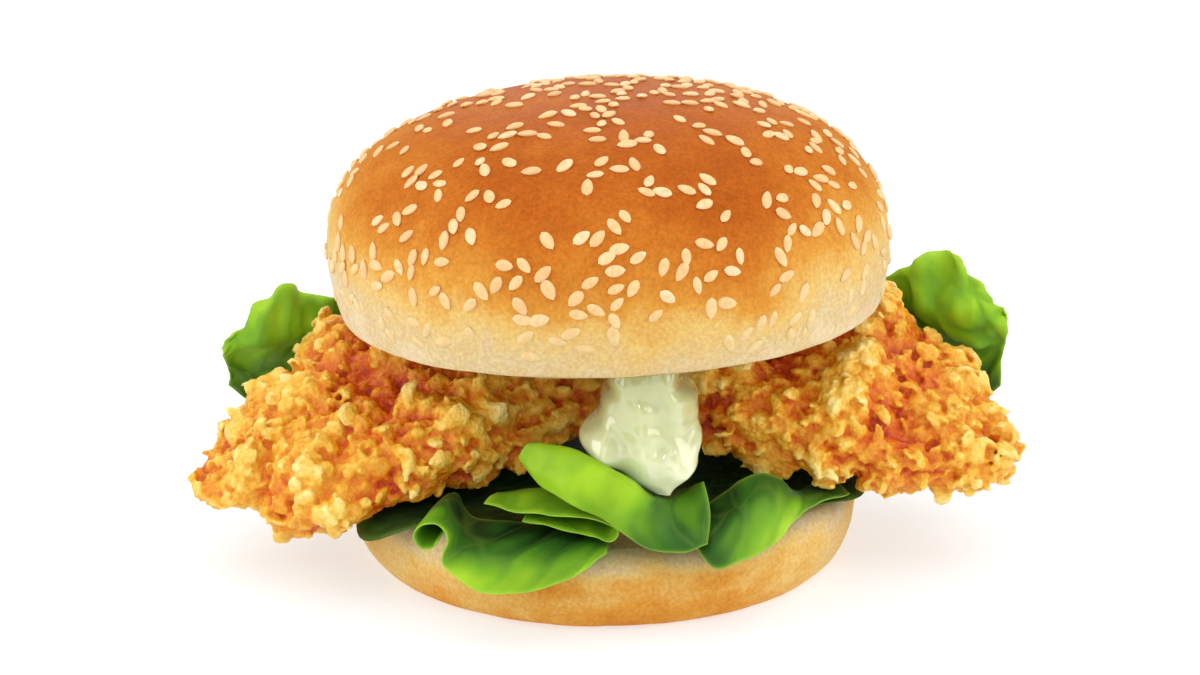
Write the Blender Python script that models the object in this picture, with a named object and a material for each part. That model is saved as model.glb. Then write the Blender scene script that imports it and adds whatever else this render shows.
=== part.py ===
"""A crispy chicken burger: bun heel, lettuce, two crumbed chicken strips, mayonnaise and a seeded bun crown.

Metres, +Z up, with the camera side at -Y. The origin is the middle of the heel's flat base.
Sizes below are written in millimetres and multiplied by MM where they reach Blender.
"""

import math
import random

import bmesh
import bpy
from mathutils import Matrix, Vector, noise
from mathutils.bvhtree import BVHTree

MM = 0.001

# Heel, the lower half of the bun
HEEL_HEIGHT = 15.0
HEEL_BASE_RADIUS = 45.6
HEEL_RADIUS = 50.4
HEEL_WIDEST_Z = 10.5
HEEL_SHOULDER = 4.5
HEEL_TOP_CROWNING = 0.3

# Crown, the upper half of the bun, in its own frame with the cut face at z = 0
CROWN_RADIUS = 53.4
CROWN_RIM_RADIUS = 51.8
CROWN_WIDEST_Z = 10.2
CROWN_HEIGHT = 40.6
CROWN_DOME_POWER = 2.42
CROWN_TUCK_POWER = 1.75
CROWN_RIM_ROUND = 1.4
CROWN_CENTRE = Vector((1.3, 0.0, 48.3))
CROWN_TILT_DEG = -2.0
BUN_SEGMENTS = 54
CROWN_PROFILE_STEPS = 8
BUN_UNEVENNESS = 0.5
BUN_LUMP_SIZE = 34.0
BUN_FLAT_MARGIN = 0.05
CROWN_TOP_MARGIN = 0.1
HEEL_SHAPE = 3.0
CROWN_SHAPE = 7.0

# Sesame seeds on the crown
SEED_LENGTH = 3.9
SEED_WIDTH = 2.2
SEED_THICKNESS = 1.2
SEED_SHOWING = 0.2
SEED_COUNT = 100
SEED_SPACING = 4.4
SEED_LOWEST_Z = 3.2
SEED_DRAW = 11
SEED_TAPER = 0.55
SEED_SIZES = (0.86, 1.12)
SIDE_STEPS = 8
DOME_STEPS = 60

# Chicken strips, from the middle of the bun outwards:
# spine point, half width, half thickness, and how far the front edge leans down in degrees
LEFT_SPINE = (
    ((1.0, 9.0, 35.0), 28.0, 10.0, 10.0),
    ((-15.0, 6.0, 34.0), 29.5, 10.5, 14.0),
    ((-28.0, 0.0, 32.5), 28.5, 11.0, 20.0),
    ((-39.0, -10.0, 29.6), 27.0, 11.0, 26.0),
    ((-50.0, -17.5, 24.6), 23.0, 9.5, 26.0),
    ((-61.0, -15.5, 22.0), 18.0, 7.4, 22.0),
    ((-69.5, -18.5, 18.2), 12.2, 4.6, 12.0),
    ((-77.0, -20.5, 17.2), 7.6, 3.6, 8.0),
)
RIGHT_SPINE = (
    ((6.0, 9.0, 36.0), 27.0, 10.0, 10.0),
    ((18.0, 6.0, 36.0), 28.0, 11.0, 14.0),
    ((31.0, 0.0, 35.0), 27.0, 11.5, 18.0),
    ((44.0, -5.0, 33.0), 25.5, 11.5, 24.0),
    ((57.0, -9.0, 28.6), 22.5, 11.0, 25.0),
    ((66.0, -11.5, 25.4), 18.4, 8.6, 24.0),
    ((73.0, -13.5, 22.4), 12.6, 5.8, 18.0),
    ((78.5, -15.0, 21.4), 7.8, 4.0, 12.0),
)
STRIP_RINGS = 34
STRIP_SIDES = 32
STRIP_SQUARENESS = 2.5
LUMP_SIZE = 17.0
LUMP_HEIGHT = 4.0
CRAG_SIZE = 9.5
CRAG_HEIGHT = 6.0
CRUMB_SIZE = 5.2
CRUMB_HEIGHT = 2.2
CRAG_LEVEL = 0.42
STRIP_END_ROUND = 0.1
STRIP_BED_GAP = 1.1
STRIP_BED_REACH = 3.0
STRIP_BED_FALL = 2.5
STRIP_ROOF_GAP = 0.5
STRIP_ROOF_RADIUS = 53.0
STRIP_PARTING_X = 2.6
STRIP_PARTING_GAP = 0.4

# Leaves
LEAF_THICKNESS = 0.7
BASE_LEAF_RADIUS = 46.0
BASE_LEAF_BULGES = (
    # direction in degrees, extra radius, half width in degrees
    (-138.0, 12.0, 13.0),
    (-22.0, 7.5, 18.0),
    (62.0, 7.0, 24.0),
    (118.0, 8.0, 22.0),
    (172.0, 6.0, 16.0),
    (-85.0, -9.0, 34.0),
)
BASE_LEAF_Z = 16.0
BASE_LEAF_WAVE = 0.4
BASE_LEAF_DROOP = 0.065
BASE_LEAF_RINGS = (0.35, 0.7, 0.87, 0.94, 1.0)
BASE_LEAF_SECTORS = 36
BASE_LEAF_LOBES = 9
BASE_LEAF_LOBE_REACH = 0.8
BASE_LEAF_WAVES = 7
BASE_LEAF_WAVE_TWIST = 5.0

# Back leaves, from just past the middle of the bun's back out to one side:
# distance from the middle, then depth and height of five lines from the bottom edge to the top edge
BACK_LEAF = (
    (-10.0, (45.5, 18.3), (48.5, 21.0), (46.0, 24.0), (48.0, 27.5), (46.0, 31.0)),
    (5.0, (45.5, 18.3), (50.0, 22.0), (46.5, 27.0), (49.5, 32.5), (46.0, 38.0)),
    (20.0, (43.0, 18.3), (48.0, 22.5), (44.5, 28.0), (48.0, 34.0), (44.5, 40.0)),
    (35.0, (36.5, 18.3), (41.5, 23.0), (38.0, 29.0), (41.0, 35.0), (37.5, 41.0)),
    (49.0, (27.5, 19.0), (31.0, 24.5), (27.5, 31.0), (29.0, 36.0), (24.5, 42.0)),
    (58.5, (19.5, 20.0), (21.0, 26.5), (17.5, 33.0), (13.0, 35.5), (18.0, 43.0)),
    (65.0, (13.5, 20.5), (14.0, 26.5), (11.0, 33.0), (5.5, 36.6), (15.0, 46.5)),
    (71.0, (9.5, 23.0), (9.0, 27.5), (7.0, 33.0), (2.0, 36.8), (9.0, 41.0)),
    (75.0, (6.0, 28.0), (5.0, 31.0), (4.0, 33.4), (2.0, 35.0), (3.0, 36.6)),
)
BACK_SIDE_STARTS = 49.0
BACK_SIDE_ENDS = 75.0
BACK_OVERLAP_ENDS = 35.0
BACK_RUFFLE = 1.3
BACK_RUFFLE_LENGTH = 13.0
BACK_LEAF_GRID = (21, 6)
LEFT_LEAF_TUCK = 8.0
RIGHT_LEAF_LIFT = 7.0
RIGHT_LEAF_REACH = 1.06
LEAF_CLEARANCE = 1.3
PROBE_REACH = 1.6

# Mayonnaise: height, left edge, right edge, front face and depth of each level
MAYO_LEVELS = (
    (47.3, 0.5, 14.2, -45.6, 26.0),
    (44.5, 0.6, 14.0, -46.6, 26.0),
    (41.0, 0.4, 16.4, -46.2, 24.0),
    (37.5, -1.4, 17.4, -45.6, 20.0),
    (34.5, -3.6, 17.6, -45.2, 14.0),
    (31.5, -2.2, 17.0, -46.4, 10.0),
    (29.0, 2.6, 15.6, -46.8, 7.0),
    (27.0, 6.2, 14.0, -46.6, 5.0),
    (25.4, 9.2, 12.6, -46.4, 3.0),
)
MAYO_SIDES = 18
MAYO_LEVEL_STEPS = 13
MAYO_SQUARENESS = 2.6
MAYO_FOLD = 0.9
MAYO_FOLD_SIZE = 6.0
MAYO_CLEARANCE = 0.8
MAYO_ROOF_GAP = 0.4


def clear_scene():
    for obj in list(bpy.data.objects):
        bpy.data.objects.remove(obj)


def material(name, colour, roughness):
    """A plain surface in the colour of one kind of food."""
    made = bpy.data.materials.new(name)
    made.use_nodes = True
    shader = made.node_tree.nodes["Principled BSDF"]
    shader.inputs["Base Color"].default_value = (*colour, 1.0)
    shader.inputs["Roughness"].default_value = roughness
    shader.inputs["Metallic"].default_value = 0.0
    return made


def add_object(name, bm, surface):
    """Turns a closed bmesh in millimetres into a named object in metres, with its faces pointing out."""
    if bm.calc_volume(signed=True) < 0:
        bmesh.ops.reverse_faces(bm, faces=bm.faces)
    bmesh.ops.scale(bm, vec=(MM, MM, MM), verts=bm.verts)
    mesh = bpy.data.meshes.new(name)
    bm.to_mesh(mesh)
    bm.free()
    mesh.materials.append(surface)
    mesh.shade_smooth()
    obj = bpy.data.objects.new(name, mesh)
    bpy.context.scene.collection.objects.link(obj)
    return obj


def lathe(profile, segments):
    """A closed turned solid from (radius, height) points that start and end on the axis."""
    bm = bmesh.new()
    verts = [bm.verts.new((radius, 0.0, height)) for radius, height in profile]
    edges = [bm.edges.new(pair) for pair in zip(verts, verts[1:])]
    bmesh.ops.spin(
        bm,
        geom=verts + edges,
        axis=(0, 0, 1),
        cent=(0, 0, 0),
        angle=math.tau,
        steps=segments,
        use_merge=True,
    )
    bmesh.ops.remove_doubles(bm, verts=bm.verts, dist=1e-4)
    return bm


def unevenness(point, seed):
    """How far a hand-shaped bun swells or sinks at a point, in millimetres."""
    return BUN_UNEVENNESS * noise.noise(point / BUN_LUMP_SIZE + Vector((seed, 0, 0)))


def swell_sides(bm, seed, flat_below, flat_above):
    """Moves the bun's side in and out a little, and leaves its flat faces flat."""
    for vert in bm.verts:
        if flat_below < vert.co.z < flat_above:
            out = Vector((vert.co.x, vert.co.y, 0.0))
            if out.length > 1.0:
                vert.co += out.normalized() * 2.0 * unevenness(vert.co, seed)


def heel_profile():
    """Flat base, round belly, soft shoulder and a cut top that is slightly crowned."""
    belly_steps = 4
    shoulder_steps = 3
    points = [(0.0, 0.0)]
    for step in range(belly_steps + 1):
        turn = math.pi / 2 * step / belly_steps
        radius = HEEL_BASE_RADIUS + (HEEL_RADIUS - HEEL_BASE_RADIUS) * math.sin(turn)
        points.append((radius, HEEL_WIDEST_Z * (1 - math.cos(turn))))
    for step in range(1, shoulder_steps + 1):
        turn = math.pi / 2 * step / shoulder_steps
        radius = HEEL_RADIUS - HEEL_SHOULDER * (1 - math.cos(turn))
        points.append((radius, HEEL_WIDEST_Z + (HEEL_HEIGHT - HEEL_WIDEST_Z) * math.sin(turn)))
    points.append((0.0, HEEL_HEIGHT + HEEL_TOP_CROWNING))
    return points


def make_heel(surface):
    bm = lathe(heel_profile(), BUN_SEGMENTS)
    swell_sides(bm, HEEL_SHAPE, BUN_FLAT_MARGIN, HEEL_HEIGHT - BUN_FLAT_MARGIN)
    return add_object("bun_heel", bm, surface)


def crown_profile(dome_steps):
    """Cut face, tucked-in lower side and high dome, from the axis below to the axis above."""
    points = [(0.0, 0.0), (CROWN_RIM_RADIUS * 0.5, 0.0)]
    points.append((CROWN_RIM_RADIUS - CROWN_RIM_ROUND, 0.0))
    tuck_steps = 4
    for step in range(tuck_steps):
        rise = step / tuck_steps
        height = CROWN_WIDEST_Z * rise
        tuck = (CROWN_RADIUS - CROWN_RIM_RADIUS) * (1 - rise) ** CROWN_TUCK_POWER
        lift = CROWN_RIM_ROUND * 0.4 if step == 0 else 0.0
        points.append((CROWN_RADIUS - tuck, height + lift))
    for step in range(dome_steps):
        turn = math.pi / 2 * step / dome_steps
        points.append(
            (
                CROWN_RADIUS * math.cos(turn) ** (2 / CROWN_DOME_POWER),
                CROWN_WIDEST_Z
                + (CROWN_HEIGHT - CROWN_WIDEST_Z) * math.sin(turn) ** (2 / CROWN_DOME_POWER),
            )
        )
    points.append((0.0, CROWN_HEIGHT))
    return points


def dome_radius(height):
    """Radius of the crown at a height above its cut face."""
    if height <= CROWN_WIDEST_Z:
        left = 1 - height / CROWN_WIDEST_Z
        return CROWN_RADIUS - (CROWN_RADIUS - CROWN_RIM_RADIUS) * left**CROWN_TUCK_POWER
    share = min(1.0, (height - CROWN_WIDEST_Z) / (CROWN_HEIGHT - CROWN_WIDEST_Z))
    return CROWN_RADIUS * (1 - share**CROWN_DOME_POWER) ** (1 / CROWN_DOME_POWER)


def dome_line():
    """Points (radius, height) up the crown's side to its top, close enough to measure along."""
    rise = (CROWN_WIDEST_Z - SEED_LOWEST_Z) / SIDE_STEPS
    low = [SEED_LOWEST_Z + rise * step for step in range(SIDE_STEPS)]
    line = [(dome_radius(height), height) for height in low]
    for step in range(DOME_STEPS):
        turn = math.pi / 2 * step / DOME_STEPS
        height = CROWN_WIDEST_Z + (CROWN_HEIGHT - CROWN_WIDEST_Z) * math.sin(turn)
        line.append((dome_radius(height), height))
    line.append((0.5, CROWN_HEIGHT))
    return line


def seed_places():
    """Where each seed lies, evenly over the dome by area and none nearer to another than the spacing."""
    draw = random.Random(SEED_DRAW)
    line = dome_line()
    spans = list(zip(line, line[1:]))
    areas = [(a[0] + b[0]) * math.dist(a, b) for a, b in spans]
    places = []
    while len(places) < SEED_COUNT:
        (low_radius, low), (high_radius, high) = draw.choices(spans, areas)[0]
        share = draw.random()
        radius = low_radius + (high_radius - low_radius) * share
        height = low + (high - low) * share
        around = draw.uniform(-math.pi, math.pi)
        heading = draw.uniform(0.0, math.pi)
        size = draw.uniform(*SEED_SIZES)
        out = Vector((math.cos(around), math.sin(around), 0.0))
        point = out * radius + Vector((0, 0, height))
        point += out * 2.0 * unevenness(point, CROWN_SHAPE) * (height < CROWN_HEIGHT - CROWN_TOP_MARGIN)
        steep = Vector((high - low, low_radius - high_radius)).normalized()
        normal = out * steep.x + Vector((0, 0, steep.y))
        if all((point - other[0]).length > SEED_SPACING for other in places):
            places.append((point, normal, heading, size))
    return places


def add_seed(bm, point, normal, heading, size):
    """One seed: a low ellipsoid, drawn in to a point at one end and partly sunk in the crust."""
    made = bmesh.ops.create_icosphere(bm, subdivisions=1, radius=0.5)["verts"]
    tangent = normal.orthogonal().normalized()
    tangent.rotate(Matrix.Rotation(heading, 3, normal))
    across = normal.cross(tangent)
    for vert in made:
        along, side, up = vert.co
        narrow = 1 - SEED_TAPER * (along + 0.5) ** 2
        vert.co = (
            point
            + tangent * along * SEED_LENGTH * size
            + across * side * SEED_WIDTH * size * narrow
            + normal * (up * SEED_THICKNESS * size + SEED_SHOWING * size)
        )


def make_crown(surface):
    bm = lathe(crown_profile(CROWN_PROFILE_STEPS), BUN_SEGMENTS)
    swell_sides(bm, CROWN_SHAPE, BUN_FLAT_MARGIN, CROWN_HEIGHT - CROWN_TOP_MARGIN)
    crown = add_object("bun_crown", bm, surface)
    seeds = bpy.data.collections.new("seeds")
    bpy.context.scene.collection.children.link(seeds)
    for index, place in enumerate(seed_places()):
        seed_mesh = bmesh.new()
        add_seed(seed_mesh, *place)
        seed = add_object(f"seed_{index}", seed_mesh, surface)
        bpy.context.scene.collection.objects.unlink(seed)
        seeds.objects.link(seed)
    fuse(crown, seeds)
    crown.location = CROWN_CENTRE * MM
    crown.rotation_euler = (0.0, math.radians(CROWN_TILT_DEG), 0.0)
    return crown


def fuse(obj, extras):
    """Joins a collection's objects to obj in one union, applies it and removes them."""
    union = obj.modifiers.new("Fuse", "BOOLEAN")
    union.operation = "UNION"
    union.operand_type = "COLLECTION"
    union.collection = extras
    union.solver = "MANIFOLD"
    apply_modifiers(obj)
    for extra in list(extras.objects):
        bpy.data.objects.remove(extra)
    bpy.data.collections.remove(extras)


def apply_modifiers(obj):
    """Keeps the object's evaluated mesh, without loose scraps, as its own."""
    bpy.context.view_layer.update()
    graph = bpy.context.evaluated_depsgraph_get()
    mesh = bpy.data.meshes.new_from_object(obj.evaluated_get(graph))
    obj.modifiers.clear()
    bm = bmesh.new()
    bm.from_mesh(mesh)
    drop_scraps(bm)
    bm.to_mesh(mesh)
    bm.free()
    obj.data = mesh


def drop_scraps(bm):
    """Leaves only the largest connected body."""
    waiting = set(bm.verts)
    bodies = []
    while waiting:
        body = []
        stack = [waiting.pop()]
        while stack:
            vert = stack.pop()
            body.append(vert)
            for edge in vert.link_edges:
                other = edge.other_vert(vert)
                if other in waiting:
                    waiting.remove(other)
                    stack.append(other)
        bodies.append(body)
    bodies.sort(key=len)
    for body in bodies[:-1]:
        bmesh.ops.delete(bm, geom=body, context="VERTS")


def curve_through(points, samples):
    """Evenly numbered samples of a smooth curve through the points (Catmull-Rom)."""
    points = [Vector(p) for p in points]
    spans = len(points) - 1
    made = []
    for sample in range(samples):
        at = spans * sample / (samples - 1)
        span = min(int(at), spans - 1)
        t = at - span
        b, c = points[span], points[span + 1]
        a = points[span - 1] if span else b * 2 - c
        d = points[span + 2] if span + 2 <= spans else c * 2 - b
        made.append(
            (b * 2 + (c - a) * t + (a * 2 - b * 5 + c * 4 - d) * t**2 + (b * 3 - a - c * 3 + d) * t**3)
            * 0.5
        )
    return made


def squircle(turn, squareness):
    """A point of a unit ring that is a circle at squareness 2 and squarer above it."""
    c = math.copysign(abs(math.cos(turn)) ** (2 / squareness), math.cos(turn))
    s = math.copysign(abs(math.sin(turn)) ** (2 / squareness), math.sin(turn))
    return c, s


def crown_underside_z(x):
    """Height of the crown's tilted cut face above a point."""
    slope = -math.tan(math.radians(CROWN_TILT_DEG))
    return CROWN_CENTRE.z + slope * (x - CROWN_CENTRE.x)


def crags(point, seed):
    """Height of the crust at a point: broad swells with round lumps of two sizes, in millimetres."""
    shift = Vector((seed, seed * 0.37, -seed))
    swell = noise.noise(point / LUMP_SIZE - shift)
    lump = noise.voronoi(point / CRAG_SIZE + shift)[0][0]
    crumb = noise.voronoi(point / CRUMB_SIZE - shift)[0][0]
    return (
        LUMP_HEIGHT * swell
        + CRAG_HEIGHT * (CRAG_LEVEL - lump)
        + CRUMB_HEIGHT * (CRAG_LEVEL - crumb)
    )


def strip_frame(spine):
    """Centre, half sizes and directions of each ring of a strip, with rounded ends."""
    centres = curve_through([p for p, _, _, _ in spine], STRIP_RINGS)
    sizes = curve_through([s[1:] for s in spine], STRIP_RINGS)
    rings = []
    for index, (centre, size) in enumerate(zip(centres, sizes)):
        share = index / (STRIP_RINGS - 1)
        near_end = min(share, 1 - share) / STRIP_END_ROUND
        pinch = math.sqrt(max(0.0, 1 - max(0.0, 1 - near_end) ** 2))
        ahead = centres[min(index + 1, STRIP_RINGS - 1)] - centres[max(index - 1, 0)]
        ahead.normalize()
        level = Vector((0, 1, 0)) - ahead * ahead.y
        level.normalize()
        upright = Vector((0, 0, 1)) - ahead * ahead.z - level * level.z
        upright.normalize()
        lean = math.radians(size.z)
        back = level * math.cos(lean) + upright * math.sin(lean)
        up = upright * math.cos(lean) - level * math.sin(lean)
        rings.append((centre, size.x * pinch, size.y * pinch, back, up))
    return rings


def leaf_droop(radius):
    """How far the bottom leaf hangs down where it sticks out past the heel."""
    past = max(0.0, radius - HEEL_RADIUS + 1.0)
    return past * past * BASE_LEAF_DROOP


def bed_z(point):
    """Lowest height that a strip may reach: it lies on the bottom leaf and is free past the leaf's edge."""
    radius = math.hypot(point.x, point.y)
    edge = base_leaf_radius(math.atan2(point.y, point.x)) + STRIP_BED_REACH
    leaf_top = BASE_LEAF_Z + 2 * BASE_LEAF_WAVE + LEAF_THICKNESS / 2 + STRIP_BED_GAP
    return leaf_top - leaf_droop(min(radius, edge)) - STRIP_BED_FALL * max(0.0, radius - edge)


def press(point, side_sign):
    """Keeps a crust point clear of the bed, the crown above and the strip beside it."""
    point.z = max(point.z, bed_z(point))
    if math.hypot(point.x - CROWN_CENTRE.x, point.y) < STRIP_ROOF_RADIUS:
        point.z = min(point.z, crown_underside_z(point.x) - STRIP_ROOF_GAP)
    limit = STRIP_PARTING_X + side_sign * STRIP_PARTING_GAP
    point.x = max(point.x, limit) if side_sign > 0 else min(point.x, limit)
    return point


def make_strip(name, spine, seed, side_sign, surface):
    """One crumbed chicken strip: rings round a spine, roughened into crags and pressed by what it touches."""
    bm = bmesh.new()
    rings = []
    frame = strip_frame(spine)
    for index, (centre, wide, thick, back, up) in enumerate(frame):
        if index in (0, STRIP_RINGS - 1):
            rings.append([bm.verts.new(press(centre.copy(), side_sign))])
            continue
        ring = []
        for step in range(STRIP_SIDES):
            c, s = squircle(math.tau * step / STRIP_SIDES, STRIP_SQUARENESS)
            point = centre + back * c * wide + up * s * thick
            out = (back * c / wide + up * s / thick).normalized()
            ring.append(bm.verts.new(press(point + out * crags(point, seed), side_sign)))
        rings.append(ring)
    for before, after in zip(rings, rings[1:]):
        for step in range(STRIP_SIDES):
            following = (step + 1) % STRIP_SIDES
            if len(before) == 1:
                bm.faces.new((before[0], after[step], after[following]))
            elif len(after) == 1:
                bm.faces.new((before[step], after[0], before[following]))
            else:
                bm.faces.new((before[step], after[step], after[following], before[following]))
    bmesh.ops.recalc_face_normals(bm, faces=bm.faces)
    bmesh.ops.triangulate(bm, faces=bm.faces)
    return add_object(name, bm, surface)


def sheet_solid(name, grid, surface, closed_around=False):
    """A thin solid from a grid of points: two like faces, half the leaf's thickness each side, and a rim."""
    bm = bmesh.new()
    rows, columns = len(grid), len(grid[0])

    def at(row, column):
        if closed_around:
            column %= columns
        return grid[max(0, min(rows - 1, row))][max(0, min(columns - 1, column))]

    faces_up, faces_down = [], []
    for row in range(rows):
        up_line, down_line = [], []
        for column in range(columns):
            along = at(row, column + 1) - at(row, column - 1)
            across = at(row + 1, column) - at(row - 1, column)
            normal = along.cross(across).normalized()
            up_line.append(bm.verts.new(grid[row][column] + normal * LEAF_THICKNESS / 2))
            down_line.append(bm.verts.new(grid[row][column] - normal * LEAF_THICKNESS / 2))
        faces_up.append(up_line)
        faces_down.append(down_line)
    if closed_around:
        for side in (faces_up, faces_down):
            bm.faces.new(side[0])
    last = columns if closed_around else columns - 1
    for row in range(rows - 1):
        for column in range(last):
            following = (column + 1) % columns
            for side in (faces_up, faces_down):
                a, b = side[row][column], side[row][following]
                c, d = side[row + 1][following], side[row + 1][column]
                bm.faces.new((a, b, c))
                bm.faces.new((a, c, d))
    if closed_around:
        rim = [(rows - 1, column % columns) for column in range(columns + 1)]
    else:
        rim = [(0, column) for column in range(columns)]
        rim += [(row, columns - 1) for row in range(1, rows)]
        rim += [(rows - 1, column) for column in range(columns - 2, -1, -1)]
        rim += [(row, 0) for row in range(rows - 2, -1, -1)]
    for (row_a, col_a), (row_b, col_b) in zip(rim, rim[1:]):
        up_a, up_b = faces_up[row_a][col_a], faces_up[row_b][col_b]
        down_a, down_b = faces_down[row_a][col_a], faces_down[row_b][col_b]
        bm.faces.new((up_a, up_b, down_b))
        bm.faces.new((up_a, down_b, down_a))
    bmesh.ops.recalc_face_normals(bm, faces=bm.faces)
    bmesh.ops.triangulate(bm, faces=bm.faces)
    return add_object(name, bm, surface)


def net_grid(net, along, across):
    """A fine grid of points on the smooth surface through a small net of points."""
    lines = [curve_through(line, along) for line in net]
    columns = [curve_through([line[index] for line in lines], across) for index in range(along)]
    return [[columns[column][row] for column in range(along)] for row in range(across)]


def base_leaf_radius(around):
    """Outline of the bottom leaf, with the lobes that stick out of the bun."""
    reach = BASE_LEAF_RADIUS + BASE_LEAF_LOBE_REACH * math.sin(BASE_LEAF_LOBES * around)
    for direction, extra, width in BASE_LEAF_BULGES:
        away = math.degrees(around) - direction
        away = (away + 180) % 360 - 180
        reach += extra * math.exp(-((away / width) ** 2))
    return reach


def make_base_leaf(surface):
    """The bottom leaf: a wavy disc on the heel that hangs over its edge a little."""
    grid = []
    for share in BASE_LEAF_RINGS:
        line = []
        for sector in range(BASE_LEAF_SECTORS):
            around = math.tau * sector / BASE_LEAF_SECTORS
            radius = base_leaf_radius(around) * share
            turn = BASE_LEAF_WAVES * around + BASE_LEAF_WAVE_TWIST * share
            wave = BASE_LEAF_WAVE * (1 + math.sin(turn)) * share
            z = BASE_LEAF_Z + wave - leaf_droop(radius)
            line.append(Vector((radius * math.cos(around), radius * math.sin(around), z)))
        grid.append(line)
    return sheet_solid("lettuce_base", grid, surface, closed_around=True)


def roll(centre, tight, loose, start_deg, end_deg, count, lean):
    """Points round a rolled leaf edge that opens from a tight to a loose radius, each set back by lean."""
    points = []
    for index in range(count):
        share = index / (count - 1)
        turn = math.radians(start_deg + (end_deg - start_deg) * share)
        radius = tight + (loose - tight) * share
        points.append(
            (
                centre[0] + radius * math.cos(turn),
                centre[1] + lean * index,
                centre[2] + radius * math.sin(turn),
            )
        )
    return points


def front_left_net():
    """The leaf that drapes over the heel's front edge, with its left side rolled up."""
    edge = roll((-30.0, -50.5, 18.6), 1.7, 2.9, -20.0, -300.0, 6, 0.2)
    edge += [(-26.9, -51.0, 18.0), (-27.0, -53.5, 14.6), (-20.0, -56.6, 11.2)]
    edge += [(-11.5, -57.0, 12.0), (-4.0, -55.2, 14.2), (1.0, -51.6, 16.5)]
    middle = roll((-28.6, -44.0, 19.6), 1.5, 2.5, -20.0, -300.0, 6, 0.15)
    middle += [(-25.6, -45.0, 18.9), (-24.6, -49.4, 17.2), (-19.0, -51.6, 16.4)]
    middle += [(-11.5, -52.0, 16.4), (-4.0, -51.0, 16.5), (1.2, -48.8, 16.9)]
    inner = roll((-27.0, -37.5, 20.2), 1.1, 1.9, -20.0, -300.0, 6, 0.1)
    inner += [(-24.6, -38.0, 19.4), (-22.6, -40.0, 18.4), (-18.0, -41.0, 18.2)]
    inner += [(-11.5, -41.5, 18.0), (-4.5, -42.5, 17.9), (1.2, -45.5, 17.7)]
    return [edge, middle, inner]


def front_fold_net():
    """The lobe folded back on itself above the front left leaf, with its bend at the right."""
    lip = [(-21.0, -42.0, 22.0), (-13.5, -46.5, 22.0), (-5.5, -49.4, 22.6), (0.4, -50.4, 22.0)]
    lip += [(2.9, -51.0, 20.4), (1.4, -51.4, 18.6), (-2.2, -50.4, 19.2), (-7.0, -48.8, 20.0)]
    lip += [(-14.0, -46.4, 20.4)]
    back = [(-19.0, -34.0, 20.6), (-11.5, -36.0, 22.4), (-4.0, -38.0, 22.9), (1.0, -40.0, 22.3)]
    back += [(3.0, -41.0, 20.7), (1.4, -41.0, 19.3), (-2.0, -40.5, 19.3), (-7.0, -39.5, 19.5)]
    back += [(-12.5, -38.0, 19.4)]
    middle = [tuple((Vector(a) + Vector(b)) / 2 + Vector((0, 0, 0.5))) for a, b in zip(lip, back)]
    return [lip, middle, back]


def front_middle_net():
    """The pale leaf under the mayonnaise that turns over its crest and hangs down in front."""
    root = [(-9.5, -36.0, 27.5), (-5.0, -36.0, 26.0), (0.0, -36.5, 24.6), (5.0, -37.0, 23.4)]
    root += [(9.0, -37.0, 22.6), (13.5, -36.5, 22.4), (17.5, -36.0, 22.4)]
    crest = [(-12.5, -41.5, 33.0), (-6.5, -44.5, 33.4), (-0.5, -47.6, 31.8), (5.0, -50.2, 29.2)]
    crest += [(9.0, -50.0, 25.6), (14.0, -43.6, 23.8), (18.0, -41.5, 26.0)]
    belly = [(-14.6, -42.0, 30.8), (-9.5, -46.5, 29.6), (-3.5, -50.2, 28.4), (2.5, -53.0, 25.8)]
    belly += [(8.5, -53.4, 22.0), (14.0, -50.5, 20.4), (19.0, -46.6, 22.0)]
    edge = [(-13.4, -42.5, 28.8), (-10.0, -45.8, 26.4), (-4.5, -49.6, 24.6), (1.5, -52.4, 22.4)]
    edge += [(7.5, -54.0, 18.6), (14.0, -53.6, 17.6), (18.2, -51.0, 17.9)]
    return [root, crest, belly, edge]


def front_right_net():
    """The leaf on the right of the front: its tip hangs over the heel, its left side is under the middle leaf."""
    edge = [(16.0, -49.5, 17.7), (19.4, -53.4, 14.6), (24.0, -51.6, 15.0), (29.4, -47.0, 15.6)]
    edge += [(34.0, -40.0, 17.2), (38.5, -33.0, 17.9), (46.0, -26.0, 17.7)]
    middle = [(16.4, -46.0, 18.9), (20.2, -48.0, 19.7), (25.0, -46.8, 21.6), (29.5, -42.6, 22.2)]
    middle += [(33.4, -37.5, 20.8), (37.4, -30.5, 18.6), (44.5, -22.5, 17.9)]
    inner = [(16.8, -39.5, 20.0), (20.6, -39.4, 22.2), (24.8, -38.6, 25.0), (28.6, -36.6, 25.8)]
    inner += [(32.2, -33.4, 23.2), (35.8, -27.5, 18.8), (42.0, -19.5, 17.9)]
    return [edge, middle, inner]


def strips_face(trees, x, z, ahead):
    """How far the strips reach along +Y or -Y around a point of the X-Z plane, in millimetres, or None."""
    start = -120.0 * ahead
    reached = []
    for dx in (-PROBE_REACH, 0.0, PROBE_REACH):
        for dz in (-PROBE_REACH, 0.0, PROBE_REACH):
            origin = Vector((x + dx, start, z + dz)) * MM
            for tree in trees:
                hit = tree.ray_cast(origin, Vector((0, ahead, 0)))[0]
                if hit is not None:
                    reached.append(hit.y / MM)
    if not reached:
        return None
    return min(reached) if ahead > 0 else max(reached)


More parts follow.
